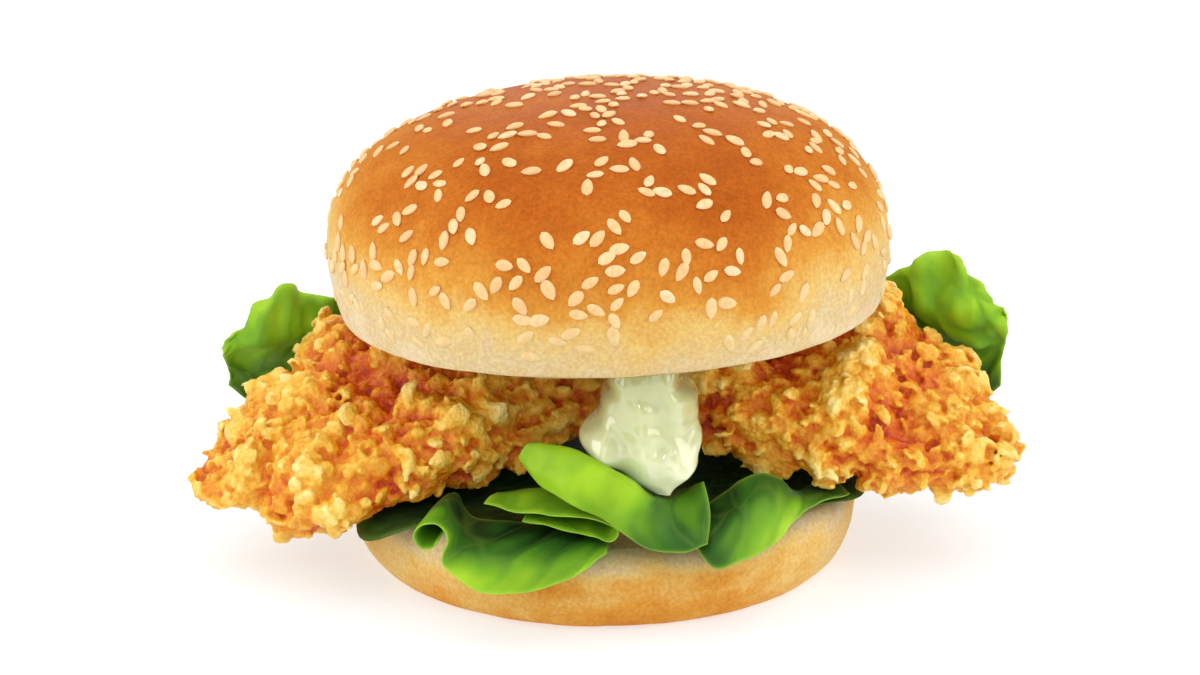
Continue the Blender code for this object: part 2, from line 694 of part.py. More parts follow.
def back_net(side, lift, reach, tuck):
    """The net of a ruffled leaf round the bun's back, rising past the bun at one side (-1 left, 1 right).

    Its end past the middle is tucked in by tuck, so that it lies inside the other leaf's end.
    """
    levels = len(BACK_LEAF[0]) - 1
    net = []
    for level in range(levels):
        rise = level / (levels - 1)
        line = []
        for out, *points in BACK_LEAF:
            y, z = points[level]
            beside = max(0.0, out - BACK_SIDE_STARTS) / (BACK_SIDE_ENDS - BACK_SIDE_STARTS)
            spread = 1 + (reach - 1) * min(1.0, 2 * beside)
            overlap = max(0.0, 1 - (out - BACK_LEAF[0][0]) / (BACK_OVERLAP_ENDS - BACK_LEAF[0][0]))
            line.append((side * out * spread, y - tuck * overlap, z + lift * rise * min(1.0, 2.5 * beside)))
        net.append(line)
    return net


def make_back_leaf(name, side, lift, reach, tuck, trees, surface):
    grid = net_grid(back_net(side, lift, reach, tuck), *BACK_LEAF_GRID)
    for row, line in enumerate(grid):
        share = row / (len(grid) - 1)
        for point in line:
            point.y += BACK_RUFFLE * share * math.sin(math.tau * point.x / BACK_RUFFLE_LENGTH + side)
            face = strips_face(trees, point.x, point.z, -1)
            if face is not None:
                point.y = max(point.y, face + LEAF_CLEARANCE)
    return sheet_solid(name, grid, surface)


def make_leaf(name, net, along, across, surface):
    return sheet_solid(name, net_grid(net, along, across), surface)


def make_mayo(trees, surface):
    """Mayonnaise that runs from under the crown down in front of the strips to the leaf."""
    edges = curve_through([(z, left, right) for z, left, right, _, _ in MAYO_LEVELS], MAYO_LEVEL_STEPS)
    depths = curve_through([(front, deep, 0.0) for _, _, _, front, deep in MAYO_LEVELS], MAYO_LEVEL_STEPS)
    bm = bmesh.new()
    rings = []
    for (z, left, right), (front, deep, _) in zip(edges, depths):
        ring = []
        for step in range(MAYO_SIDES):
            c, s = squircle(math.tau * step / MAYO_SIDES, MAYO_SQUARENESS)
            x = (left + right) / 2 + c * (right - left) / 2
            y = front + deep / 2 + s * deep / 2
            if s < 0:
                y += MAYO_FOLD * noise.noise(Vector((x, 0, z)) / MAYO_FOLD_SIZE)
            face = strips_face(trees, x, z, 1)
            if face is not None:
                y = min(y, face - MAYO_CLEARANCE)
            ring.append(bm.verts.new((x, y, min(z, crown_underside_z(x) - MAYO_ROOF_GAP))))
        rings.append(ring)
    for before, after in zip(rings, rings[1:]):
        for step in range(MAYO_SIDES):
            following = (step + 1) % MAYO_SIDES
            bm.faces.new((before[step], after[step], after[following], before[following]))
    bm.faces.new(rings[0])
    bm.faces.new(rings[-1])
    bmesh.ops.recalc_face_normals(bm, faces=bm.faces)
    bmesh.ops.triangulate(bm, faces=bm.faces)
    return add_object("mayonnaise", bm, surface)


def main():
    clear_scene()
    crust = material("bun crust", (0.72, 0.38, 0.13), 0.5)
    crumb_coat = material("fried crumb", (0.78, 0.42, 0.10), 0.55)
    leaf = material("lettuce", (0.30, 0.52, 0.06), 0.4)
    sauce = material("mayonnaise", (0.86, 0.88, 0.72), 0.25)
    make_heel(crust)
    make_crown(crust)
    strips = [
        make_strip("chicken_left", LEFT_SPINE, 2.0, -1, crumb_coat),
        make_strip("chicken_right", RIGHT_SPINE, 5.0, 1, crumb_coat),
    ]
    graph = bpy.context.evaluated_depsgraph_get()
    trees = [BVHTree.FromObject(strip, graph) for strip in strips]
    make_base_leaf(leaf)
    make_leaf("lettuce_front_left", front_left_net(), 24, 5, leaf)
    make_leaf("lettuce_front_fold", front_fold_net(), 17, 5, leaf)
    make_leaf("lettuce_front_middle", front_middle_net(), 14, 8, leaf)
    make_leaf("lettuce_front_right", front_right_net(), 12, 5, leaf)
    make_back_leaf("lettuce_back_left", -1, 0.0, 1.0, LEFT_LEAF_TUCK, trees, leaf)
    make_back_leaf("lettuce_back_right", 1, RIGHT_LEAF_LIFT, RIGHT_LEAF_REACH, 0.0, trees, leaf)
    make_mayo(trees, sauce)


main()
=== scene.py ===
"""Looks of a crispy chicken burger: seeded bun, crumbed chicken strips, lettuce and mayonnaise.

The forms repeat the CAD part's own rules at a finer step, then get what only the looks need:
flakes and crumbs, sesame seeds, leaf veins, soft folds, and a procedural material for each food.
Sizes are in millimetres and are multiplied by MM where they reach Blender. +Z is up, the front is at -Y.
"""

import math
import random

import bpy
import numpy as np
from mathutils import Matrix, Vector, noise
from mathutils.bvhtree import BVHTree


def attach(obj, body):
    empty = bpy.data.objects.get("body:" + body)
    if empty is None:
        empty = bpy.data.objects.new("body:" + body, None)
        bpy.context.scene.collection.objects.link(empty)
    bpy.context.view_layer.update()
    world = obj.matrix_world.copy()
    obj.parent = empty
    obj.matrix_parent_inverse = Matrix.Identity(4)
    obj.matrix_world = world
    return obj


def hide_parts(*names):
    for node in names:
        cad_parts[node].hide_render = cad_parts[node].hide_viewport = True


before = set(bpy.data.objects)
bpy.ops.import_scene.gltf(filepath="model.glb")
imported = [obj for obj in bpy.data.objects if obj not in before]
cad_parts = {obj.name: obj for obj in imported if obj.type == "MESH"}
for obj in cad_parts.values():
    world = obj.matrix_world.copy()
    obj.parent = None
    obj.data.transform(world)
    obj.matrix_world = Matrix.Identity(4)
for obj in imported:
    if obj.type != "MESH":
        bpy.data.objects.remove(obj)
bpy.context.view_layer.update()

MM = 0.001
BODY = "root"

# Camera, in millimetres, fitted to the photograph
CAMERA_PLACE = (1.3, -366.2, 152.9)
CAMERA_AIM = (-0.55, -1.4, 40.3)
CAMERA_LENS = 58.87
CAMERA_SENSOR = 36.0

# Heel, as in the part
HEEL_HEIGHT = 15.0
HEEL_BASE_RADIUS = 45.6
HEEL_RADIUS = 50.4
HEEL_WIDEST_Z = 10.5
HEEL_SHOULDER = 4.5
HEEL_TOP_CROWNING = 0.3

# Crown, as in the part, in its own frame with the cut face at z = 0
CROWN_RADIUS = 53.4
CROWN_RIM_RADIUS = 51.8
CROWN_WIDEST_Z = 10.2
CROWN_HEIGHT = 40.6
CROWN_DOME_POWER = 2.42
CROWN_TUCK_POWER = 1.75
CROWN_RIM_ROUND = 1.4
CROWN_CENTRE = Vector((1.3, 0.0, 48.3))
CROWN_TILT_DEG = -2.0
BUN_UNEVENNESS = 0.5
BUN_LUMP_SIZE = 34.0
HEEL_SHAPE = 3.0
CROWN_SHAPE = 7.0

# Bun detail that only the looks have
BUN_SEGMENTS = 260
SKIN_DENT = 0.16
SKIN_DENT_SIZE = 9.0
SKIN_WRINKLE = 0.05
SKIN_WRINKLE_SIZE = 2.2
# Painted light: the bun is made paler towards its left and right, partly for its brighter lit sides and
# partly for a lighter bake there
BUN_PAINTED_SIDE_LIGHT = ((-52.0, -0.3), (-36.0, -0.13), (-16.0, 0.0), (20.0, 0.0), (36.0, -0.12), (53.0, -0.28))

# Sesame seeds: the part's own come first, and the rest gather near them
SEED_LENGTH = 3.9
SEED_WIDTH = 2.2
SEED_LOOK_SHARE = 0.88
SEED_SHOWING = 0.18
SEED_COUNT = 100
SEED_SPACING = 4.4
SEED_LOWEST_Z = 3.2
SEED_DRAW = 11
SEED_ALL = 560
SEED_TOUCHING = 2.4
SEED_CLUSTER_REACH = 3.7
SEED_LONE_SHARE = 0.3
SEED_SECTIONS = 9
SEED_SIDES = 8
SEED_LOOK_THICKNESS = 1.1
SEED_SINK = 0.22
SEED_SUNKEN_TINT = 0.85
SEED_BAND_TOP = 15.0
SEED_BAND_DEPTH = 8.0

# Chicken strips, as in the part: spine point, half width, half thickness and lean of each station
LEFT_SPINE = (
    ((1.0, 9.0, 35.0), 28.0, 10.0, 10.0),
    ((-15.0, 6.0, 34.0), 29.5, 10.5, 14.0),
    ((-28.0, 0.0, 32.5), 28.5, 11.0, 20.0),
    ((-39.0, -10.0, 29.6), 27.0, 11.0, 26.0),
    ((-50.0, -17.5, 24.6), 23.0, 9.5, 26.0),
    ((-61.0, -15.5, 22.0), 18.0, 7.4, 22.0),
    ((-69.5, -18.5, 18.2), 12.2, 4.6, 12.0),
    ((-77.0, -20.5, 17.2), 7.6, 3.6, 8.0),
)
RIGHT_SPINE = (
    ((6.0, 9.0, 36.0), 27.0, 10.0, 10.0),
    ((18.0, 6.0, 36.0), 28.0, 11.0, 14.0),
    ((31.0, 0.0, 35.0), 27.0, 11.5, 18.0),
    ((44.0, -5.0, 33.0), 25.5, 11.5, 24.0),
    ((57.0, -9.0, 28.6), 22.5, 11.0, 25.0),
    ((66.0, -11.5, 25.4), 18.4, 8.6, 24.0),
    ((73.0, -13.5, 22.4), 12.6, 5.8, 18.0),
    ((78.5, -15.0, 21.4), 7.8, 4.0, 12.0),
)
STRIP_SQUARENESS = 2.5
LUMP_SIZE = 17.0
LUMP_HEIGHT = 4.0
CRAG_SIZE = 9.5
CRAG_HEIGHT = 6.0
CRUMB_SIZE = 5.2
CRUMB_HEIGHT = 2.2
CRAG_LEVEL = 0.42
STRIP_END_ROUND = 0.1
STRIP_BED_GAP = 1.1
STRIP_BED_REACH = 3.0
STRIP_BED_FALL = 2.5
STRIP_ROOF_GAP = 0.5
STRIP_ROOF_RADIUS = 53.0
STRIP_PARTING_X = 2.6
STRIP_PARTING_GAP = 0.4

# Crust detail that only the looks have
STRIP_RINGS = 160
STRIP_SIDES = 200
NUBS = ((4.4, 1.5), (2.2, 0.7))
NUB_WARP = 1.7
NUB_WARP_SIZE = 6.0
PATCH_SIZE = 12.0
RELIEF_RANGE = 5.0
STRIP_SINK = 1.2
CRUST_VOXEL = 0.37
CRUST_TRIANGLES = 190000
# Painted shade: how far crust points sink below the smoothed skin darkens them
CAVITY_SHADE_STEPS = 20
CAVITY_SHADE_RANGE = 0.55
FINE_RELIEF = 0.2
FINE_RELIEF_SIZE = 0.8
GRANULE_HEIGHT = 0.5
GRANULE_SIZE = 1.1
GRANULE_PATCH = 7.0
CRINKLE = 0.4
CRINKLE_SIZE = 1.9
# Kinds of lump: number and form, half length and how few are long, width and thickness as shares of it,
# how they lie, how strongly they gather in patches, and how gold they and their tips are
PETALS = dict(
    count=1500, rings=6, corners=12, length=(0.9, 2.9), few_long=1.5, width=(0.55, 0.95),
    thickness=(0.22, 0.36), tilt=(0.0, 0.4), bend=(-0.35, 0.1), lift=0.05,
    gather=0.45, tone=0.06, tint=0.05, tip=0.05,
)
RAISED_PETALS = dict(
    count=130, rings=6, corners=12, length=(1.3, 2.7), few_long=1.2, width=(0.55, 0.9),
    thickness=(0.22, 0.3), tilt=(0.4, 0.95), bend=(-0.5, 0.0), lift=0.1,
    gather=0.6, tone=0.1, tint=0.05, tip=0.12,
)
# Flakes that stand out in front: x, z, heading in degrees, half length, width, thickness and tilt
LEFT_FLAKES = (
    (-22.6, 24.0, -75.0, 2.9, 0.85, 0.42, 0.7),
    (-30.2, 29.6, -90.0, 1.6, 0.9, 0.4, 0.4),
    (-8.2, 33.6, 20.0, 2.2, 0.75, 0.5, 0.5),
    (-12.0, 32.2, 200.0, 2.6, 0.36, 0.36, 0.3),
    (-5.6, 35.6, 42.0, 2.8, 0.32, 0.3, 0.4),
    (-35.0, 26.0, -110.0, 2.6, 0.5, 0.34, 0.5),
    (-36.4, 23.2, -60.0, 2.3, 0.5, 0.34, 0.6),
    (-33.6, 21.6, -95.0, 2.2, 0.55, 0.34, 0.7),
    (-48.6, 33.4, -100.0, 2.7, 0.6, 0.34, 0.5),
    (-54.0, 38.6, 150.0, 2.4, 0.6, 0.36, 0.5),
)
RIGHT_FLAKES = (
    (36.4, 26.6, -40.0, 3.0, 0.36, 0.34, 0.6),
    (38.8, 24.8, -55.0, 3.2, 0.34, 0.34, 0.7),
    (37.4, 22.8, -62.0, 3.0, 0.34, 0.34, 0.7),
    (34.0, 27.6, -75.0, 2.6, 0.4, 0.34, 0.6),
    (41.2, 23.0, -38.0, 2.6, 0.36, 0.34, 0.8),
    (25.4, 40.0, -75.0, 2.6, 0.65, 0.34, 0.5),
    (26.4, 35.4, -100.0, 2.9, 0.7, 0.34, 0.5),
    (29.0, 31.8, -85.0, 2.4, 0.75, 0.36, 0.6),
    (22.6, 37.4, -115.0, 2.4, 0.6, 0.34, 0.5),
    (42.4, 35.0, -80.0, 2.5, 0.6, 0.34, 0.5),
    (51.6, 32.0, -60.0, 2.4, 0.6, 0.36, 0.6),
)
FLAKE_TONE = 0.2
ROUND_NUBS = dict(
    count=700, rings=5, corners=8, length=(0.5, 1.4), few_long=1.8, width=(0.7, 1.0),
    thickness=(0.6, 0.9), tilt=(0.0, 0.6), bend=(-0.2, 0.2), lift=0.2,
    gather=0.5, tone=0.04, tint=0.05, tip=0.03,
)

# Leaves, as in the part
LEAF_THICKNESS = 0.7
BASE_LEAF_RADIUS = 46.0
BASE_LEAF_BULGES = (
    (-138.0, 12.0, 13.0),
    (-22.0, 7.5, 18.0),
    (62.0, 7.0, 24.0),
    (118.0, 8.0, 22.0),
    (172.0, 6.0, 16.0),
    (-85.0, -9.0, 34.0),
)
BASE_LEAF_Z = 16.0
BASE_LEAF_WAVE = 0.4
BASE_LEAF_DROOP = 0.065
BACK_LEAF = (
    (-10.0, (45.5, 18.3), (48.5, 21.0), (46.0, 24.0), (48.0, 27.5), (46.0, 31.0)),
    (5.0, (45.5, 18.3), (50.0, 22.0), (46.5, 27.0), (49.5, 32.5), (46.0, 38.0)),
    (20.0, (43.0, 18.3), (48.0, 22.5), (44.5, 28.0), (48.0, 34.0), (44.5, 40.0)),
    (35.0, (36.5, 18.3), (41.5, 23.0), (38.0, 29.0), (41.0, 35.0), (37.5, 41.0)),
    (49.0, (27.5, 19.0), (31.0, 24.5), (27.5, 31.0), (29.0, 36.0), (24.5, 42.0)),
    (58.5, (19.5, 20.0), (21.0, 26.5), (17.5, 33.0), (13.0, 35.5), (18.0, 43.0)),
    (65.0, (13.5, 20.5), (14.0, 26.5), (11.0, 33.0), (5.5, 36.6), (15.0, 46.5)),
    (71.0, (9.5, 23.0), (9.0, 27.5), (7.0, 33.0), (2.0, 36.8), (9.0, 41.0)),
    (75.0, (6.0, 28.0), (5.0, 31.0), (4.0, 33.4), (2.0, 35.0), (3.0, 36.6)),
)
BACK_SIDE_STARTS = 49.0
BACK_SIDE_ENDS = 75.0
BACK_OVERLAP_ENDS = 35.0
BACK_RUFFLE = 1.3
BACK_RUFFLE_LENGTH = 13.0
LEFT_LEAF_TUCK = 8.0
RIGHT_LEAF_LIFT = 7.0
RIGHT_LEAF_REACH = 1.06
LEAF_LOOK_CLEARANCE = 3.2
LEAF_END_SHARE = 0.16
LEAF_END_DROP = 0.45
PROBE_REACH = 1.6

# Leaf detail that only the looks have
BLISTER_SIZE = 7.5
BLISTER_HEIGHT = 0.5
LOOK_THICKNESS = 0.5
# The pale rim is partly the thin edge's own paler colour and partly a painted highlight along the edge
RIM_HIGHLIGHT_ROWS = 1.3
EDGE_WAVE_REACH = 0.4
VEIN_WIDTH = 0.1
# For each leaf: painted light and shade as brightness along its rows and columns, darker where the leaf
# lies in shade and brighter where it is lit; blister and crumple, the wave of its free edge, and whether
# that edge is its first or last row
# The bottom leaf's brightness is near zero: painted shade, since it lies in shade under the strips
BASE_LOOK = dict(rows=(0.0, 0.0, 0.04), columns=(1, 1), relief=0.3, crumple=0.2, wave=0.0, free="last")
FRONT_LEFT_LOOK = dict(
    rows=(1.0, 0.74, 0.4, 0.1, 0.0), columns=(0.8, 0.6, 0.7, 1.0, 0.85),
    relief=0.4, crumple=0.5, wave=0.25, free="first",
)
FRONT_FOLD_LOOK = dict(
    rows=(1.0, 0.85, 0.35), columns=(0.85, 0.85, 0.8, 0.8, 0.7, 0.8),
    relief=0.35, crumple=0.3, wave=0.15, free="first",
)
FRONT_MIDDLE_LOOK = dict(
    rows=(0.2, 1.0, 1.0, 0.95), columns=(1.0, 1.0, 1.0, 0.95, 0.5, 0.32, 0.5),
    relief=0.35, crumple=0.4, wave=0.2, free="last",
)
FRONT_RIGHT_LOOK = dict(
    rows=(1.0, 0.8, 0.5, 0.3), columns=(0.3, 0.35, 0.85, 1.0, 0.6, 0.2),
    relief=0.4, crumple=0.5, wave=0.2, free="first",
)
VEIN_STRENGTH = 0.1
CRUMPLE_SIZE = 9.0
EDGE_WAVE_LENGTH = 8.5
# Painted light and shade: blister tops are made lighter and the hollows between them darker
BLISTER_LIGHT_AND_SHADE = 0.22
RIM_HIGHLIGHT = 0.5
BACK_LOOK = dict(
    rows=(0.3, 0.45, 0.6, 0.75, 0.9), columns=(0.7, 0.8, 1.0, 1.0),
    relief=1.5, crumple=1.3, wave=0.9, free="last",
)

# Mayonnaise, as in the part: height, left edge, right edge, front face and depth of each level
MAYO_LEVELS = (
    (47.3, 0.5, 14.2, -45.6, 26.0),
    (44.5, 0.6, 14.0, -46.6, 26.0),
    (41.0, 0.4, 16.4, -46.2, 24.0),
    (37.5, -1.4, 17.4, -45.6, 20.0),
    (34.5, -3.6, 17.6, -45.2, 14.0),
    (31.5, -2.2, 17.0, -46.4, 10.0),
    (29.0, 2.6, 15.6, -46.8, 7.0),
    (27.0, 6.2, 14.0, -46.6, 5.0),
    (25.4, 9.2, 12.6, -46.4, 3.0),
)
MAYO_SQUARENESS = 2.6
MAYO_CLEARANCE = 0.8
MAYO_ROOF_GAP = 0.4
MAYO_RINGS = 64
MAYO_SIDES = 84
MAYO_FOLD = 0.9
MAYO_FOLD_SIZE = 6.0

# Mayonnaise detail that only the looks have: forward swell at each height, slanting to the right
MAYO_BULGES = (
    (25.0, 0.0),
    (28.5, 0.5),
    (32.0, 1.0),
    (35.5, 0.9),
    (38.5, 0.2),
    (42.0, -0.5),
    (45.0, -0.1),
    (47.5, 0.0),
)
MAYO_SLANT = 0.3
MAYO_FLOW = 2.0
MAYO_FLOW_WIDTH = 4.6
MAYO_FLOW_LENGTH = 12.0
MAYO_CREASE = 0.35
MAYO_CREASE_SIZE = 4.5
MAYO_MIDDLE_X = 8.0
MAYO_EDGE_WOBBLE = 1.2
MAYO_LOW_PALER = 0.6

# Fixes the directions of the vector noise, which otherwise differ from run to run
NOISE_DRAW = 20

# Stage
FLOOR_GLOW = 0.54


def srgb(red, green, blue):
    """The linear colour that reads as this 0-255 colour on a screen."""
    shares = [value / 255 for value in (red, green, blue)]
    return (*[s / 12.92 if s <= 0.04045 else ((s + 0.055) / 1.055) ** 2.4 for s in shares], 1.0)


# Node helpers


def add_node(tree, kind, inputs=None, **settings):
    """Adds a node; each input is a value or the output socket to link to it."""
    made = tree.nodes.new(kind)
    for name, value in settings.items():
        setattr(made, name, value)
    for name, value in (inputs or {}).items():
        if isinstance(value, bpy.types.NodeSocket):
            tree.links.new(value, made.inputs[name])
        else:
            made.inputs[name].default_value = value
    return made


def noise_at(tree, size, detail=2.0, roughness=0.5):
    """Noise with features of about this many millimetres."""
    place = add_node(tree, "ShaderNodeTexCoord").outputs["Object"]
    inputs = {"Vector": place, "Scale": 1 / (size * MM), "Detail": detail, "Roughness": roughness}
    return add_node(tree, "ShaderNodeTexNoise", inputs).outputs["Fac"]


def cells_at(tree, size, feature="F1"):
    """Distance field of Voronoi cells of about this many millimetres."""
    place = add_node(tree, "ShaderNodeTexCoord").outputs["Object"]
    inputs = {"Vector": place, "Scale": 1 / (size * MM)}
    return add_node(tree, "ShaderNodeTexVoronoi", inputs, feature=feature).outputs["Distance"]


def math_node(tree, operation, a, b, c=0.0, clamp=False):
    """One sum; c is added where the operation is MULTIPLY_ADD."""
    made = add_node(tree, "ShaderNodeMath", {0: a, 1: b, 2: c}, operation=operation)
    made.use_clamp = clamp
    return made.outputs[0]


def stored(tree, name):
    """A number that the mesh stores at each point."""
    return add_node(tree, "ShaderNodeAttribute", attribute_name=name).outputs["Fac"]


def ramp(tree, factor, *stops):
    """A colour ramp; each stop is a place and a 0-255 colour."""
    made = add_node(tree, "ShaderNodeValToRGB", {"Fac": factor})
    elements = made.color_ramp.elements
    while len(elements) < len(stops):
        elements.new(0.5)
    for element, (place, *colour) in zip(elements, stops):
        element.position = place
        element.color = srgb(*colour)
    return made.outputs["Color"]


def mix(tree, factor, a, b, blend="MIX"):
    """Mixes two colours."""
    made = tree.nodes.new("ShaderNodeMix")
    made.data_type = "RGBA"
    made.blend_type = blend
    for index, value in ((0, factor), (6, a), (7, b)):
        if isinstance(value, bpy.types.NodeSocket):
            tree.links.new(value, made.inputs[index])
        else:
            made.inputs[index].default_value = value
    return made.outputs[2]


def bump(tree, height, distance, strength=1.0, under=None):
    """Surface relief too fine for the mesh, with distance in millimetres."""
    inputs = {"Height": height, "Distance": distance * MM, "Strength": strength}
    if under is not None:
        inputs["Normal"] = under
    return add_node(tree, "ShaderNodeBump", inputs).outputs["Normal"]


def new_material(name, **values):
    """A material with constant values on its shader's sockets; returns it, its tree and its shader."""
    made = bpy.data.materials.new(name)
    made.use_nodes = True
    shader = made.node_tree.nodes["Principled BSDF"]
    for socket, value in values.items():
        shader.inputs[socket.replace("_", " ")].default_value = value
    return made, made.node_tree, shader


# Materials


def glow_through(weight, radius, scale):
    """Shader values for light that spreads under a surface, with its scale in millimetres."""
    return {"Subsurface_Weight": weight, "Subsurface_Radius": radius, "Subsurface_Scale": scale * MM}


def bun_material():
    """Baked crust: the stored bake runs from floury white to dark brown."""
    made, tree, shader = new_material("baked_crust", Specular_IOR_Level=0.04)
    mottle = math_node(tree, "MULTIPLY_ADD", noise_at(tree, 6.0, 5.0, 0.62), 0.34, -0.17)
    level = math_node(tree, "ADD", stored(tree, "bake"), mottle, clamp=True)
    floury = (0.0, 228, 210, 176), (0.14, 212, 186, 138), (0.32, 220, 180, 104)
    golden = (0.5, 211, 146, 58), (0.68, 194, 114, 36), (0.85, 177, 91, 24), (1.0, 158, 74, 16)
    colour = ramp(tree, level, *floury, *golden)
    grain = noise_at(tree, 0.7, 3.0, 0.6)
    speck = ramp(tree, grain, (0.3, 100, 100, 100), (0.7, 255, 255, 255))
    tree.links.new(mix(tree, 0.22, colour, speck, "OVERLAY"), shader.inputs["Base Color"])
    tree.links.new(math_node(tree, "MULTIPLY_ADD", level, -0.2, 0.68), shader.inputs["Roughness"])
    skin = bump(tree, noise_at(tree, 2.6, 4.0, 0.55), 0.16)
    tree.links.new(bump(tree, grain, 0.06, under=skin), shader.inputs["Normal"])
    return made


def seed_material():
    """Toasted sesame: cream, with a tint of its own for each seed and a warmer middle."""
    made, tree, shader = new_material("sesame", Roughness=0.42, Specular_IOR_Level=0.35)
    warm, pale = ((0.0, 232, 190, 134), (0.2, 238, 200, 142)), ((0.6, 244, 208, 148), (1.0, 250, 224, 176))
    tint = ramp(tree, stored(tree, "tint"), *warm, *pale)
    sunken = mix(tree, stored(tree, "sunken"), tint, srgb(226, 206, 148))
    middle = mix(tree, stored(tree, "middle"), sunken, srgb(222, 164, 100))
    tree.links.new(middle, shader.inputs["Base Color"])
    tree.links.new(bump(tree, noise_at(tree, 0.6), 0.04), shader.inputs["Normal"])
    return made


def crust_material():
    """Fried crumb: yellow gold on the peaks, orange on the flanks and red brown in the hollows; the stored
    tone adds painted shade in the hollows and painted highlight on the peaks to the crumb's own colour.
    """
    flesh = glow_through(0.3, (1.0, 0.4, 0.1), 1.3)
    made, tree, shader = new_material("fried_crumb", Specular_IOR_Level=0.35, **flesh)
    speckle = math_node(tree, "MULTIPLY_ADD", noise_at(tree, 1.1, 4.0, 0.65), 0.4, -0.2)
    level = math_node(tree, "ADD", stored(tree, "tone"), speckle, clamp=True)
    hollows = (0.0, 172, 48, 10), (0.16, 208, 84, 12), (0.32, 222, 122, 18)
    peaks = (0.5, 229, 156, 32), (0.66, 238, 184, 60), (0.82, 246, 206, 98), (1.0, 252, 226, 146)
    tree.links.new(ramp(tree, level, *hollows, *peaks), shader.inputs["Base Color"])
    rough = math_node(tree, "MULTIPLY_ADD", noise_at(tree, 2.0), 0.35, 0.16)
    tree.links.new(rough, shader.inputs["Roughness"])
    grit = bump(tree, cells_at(tree, 0.9), 0.28)
    fine = bump(tree, noise_at(tree, 0.5, 3.0, 0.6), 0.2, under=grit)
    tree.links.new(fine, shader.inputs["Normal"])
    return made


def leaf_material():
    """Butter lettuce: lime flesh whose stored brightness is painted light and shade, from dark green in
    shade to bright lime where lit, paler veins, a pale rim that is partly painted highlight, and light that
    glows through.
    """
    thin = glow_through(0.3, (0.8, 1.0, 0.2), 1.0)
    made, tree, shader = new_material("lettuce_leaf", Roughness=0.46, Specular_IOR_Level=0.16, **thin)
    greens = (0.0, 18, 44, 20), (0.35, 54, 106, 28), (0.7, 116, 170, 28), (1.0, 164, 206, 40)
    # Painted light and shade: the stored share runs the green from shaded dark green to lit lime
    flesh = ramp(tree, stored(tree, "painted_leaf_light"), *greens)
    shade = ramp(tree, noise_at(tree, 8.0, 3.0), (0.3, 160, 175, 120), (0.7, 255, 255, 255))
    patch = mix(tree, 0.5, flesh, shade, "MULTIPLY")
    # Paler veins, and a pale rim that is partly a painted edge highlight
    veined = mix(tree, stored(tree, "vein_and_rim_highlight"), patch, srgb(170, 212, 76))
    tree.links.new(veined, shader.inputs["Base Color"])
    skin = bump(tree, cells_at(tree, 1.5, "DISTANCE_TO_EDGE"), 0.12, 0.5)
    tree.links.new(bump(tree, noise_at(tree, 0.9, 3.0), 0.05, under=skin), shader.inputs["Normal"])
    return made


def mayo_material():
    """Glossy mayonnaise: pale with a green yellow cast, smooth and wet."""
    cream = glow_through(0.4, (1.0, 0.95, 0.6), 1.6)
    coat = {"Coat_Weight": 1.0, "Coat_Roughness": 0.04}
    made, tree, shader = new_material("mayonnaise", Roughness=0.12, **cream, **coat)
    level = math_node(tree, "MULTIPLY_ADD", noise_at(tree, 6.0), 0.4, stored(tree, "low"))
    cast = ramp(tree, level, (0.2, 190, 194, 136), (0.5, 208, 212, 160), (0.8, 240, 242, 206))
    tree.links.new(cast, shader.inputs["Base Color"])
    tree.links.new(bump(tree, noise_at(tree, 1.6, 2.0), 0.07), shader.inputs["Normal"])
    return made


def floor_material():
    """White that also glows a little, so that shadows on it stay faint."""
    glow = {"Emission_Color": (1.0, 1.0, 1.0, 1.0), "Emission_Strength": FLOOR_GLOW}
    return new_material("pale_floor", Base_Color=srgb(190, 190, 190), Roughness=0.9, **glow)[0]


# Mesh helpers


def mesh_object(name, points, faces, surface):
    """A smooth object in metres from points in millimetres."""
    mesh = bpy.data.meshes.new(name)
    mesh.from_pydata((np.asarray(points) * MM).tolist(), [], faces)
    mesh.materials.append(surface)
    mesh.shade_smooth()
    obj = bpy.data.objects.new(name, mesh)
    bpy.context.scene.collection.objects.link(obj)
    return obj


def store(obj, name, values):
    """Stores one number at each point of a mesh, for its material to read."""
    attribute = obj.data.attributes.new(name, "FLOAT", "POINT")
    attribute.data.foreach_set("value", np.asarray(values, np.float32))


def points_of(obj):
    """The points of a mesh in millimetres."""
    co = np.zeros(len(obj.data.vertices) * 3, np.float32)
    obj.data.vertices.foreach_get("co", co)
    return co.reshape(-1, 3).astype(float) / MM


def normals_of(obj):
    """The unit normals at the points of a mesh."""
    co = np.zeros(len(obj.data.vertices) * 3, np.float32)
    obj.data.vertices.foreach_get("normal", co)
    return co.reshape(-1, 3).astype(float)


def move_points(obj, points):
    """Gives the points of a mesh new places in millimetres."""
    obj.data.vertices.foreach_set("co", (np.asarray(points) * MM).astype(np.float32).ravel())
    obj.data.update()


def place(obj, slot, *nodes):
    """Puts a piece on the body and hides the nodes it stands for. The slot is not used."""
    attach(obj, BODY)
    if nodes:
        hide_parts(*nodes)


def squircle(turns, squareness):
    """Points of a unit ring that is a circle at squareness 2 and squarer above it."""
    power = 2 / squareness
    c = np.sign(np.cos(turns)) * np.abs(np.cos(turns)) ** power
    s = np.sign(np.sin(turns)) * np.abs(np.sin(turns)) ** power
    return c, s


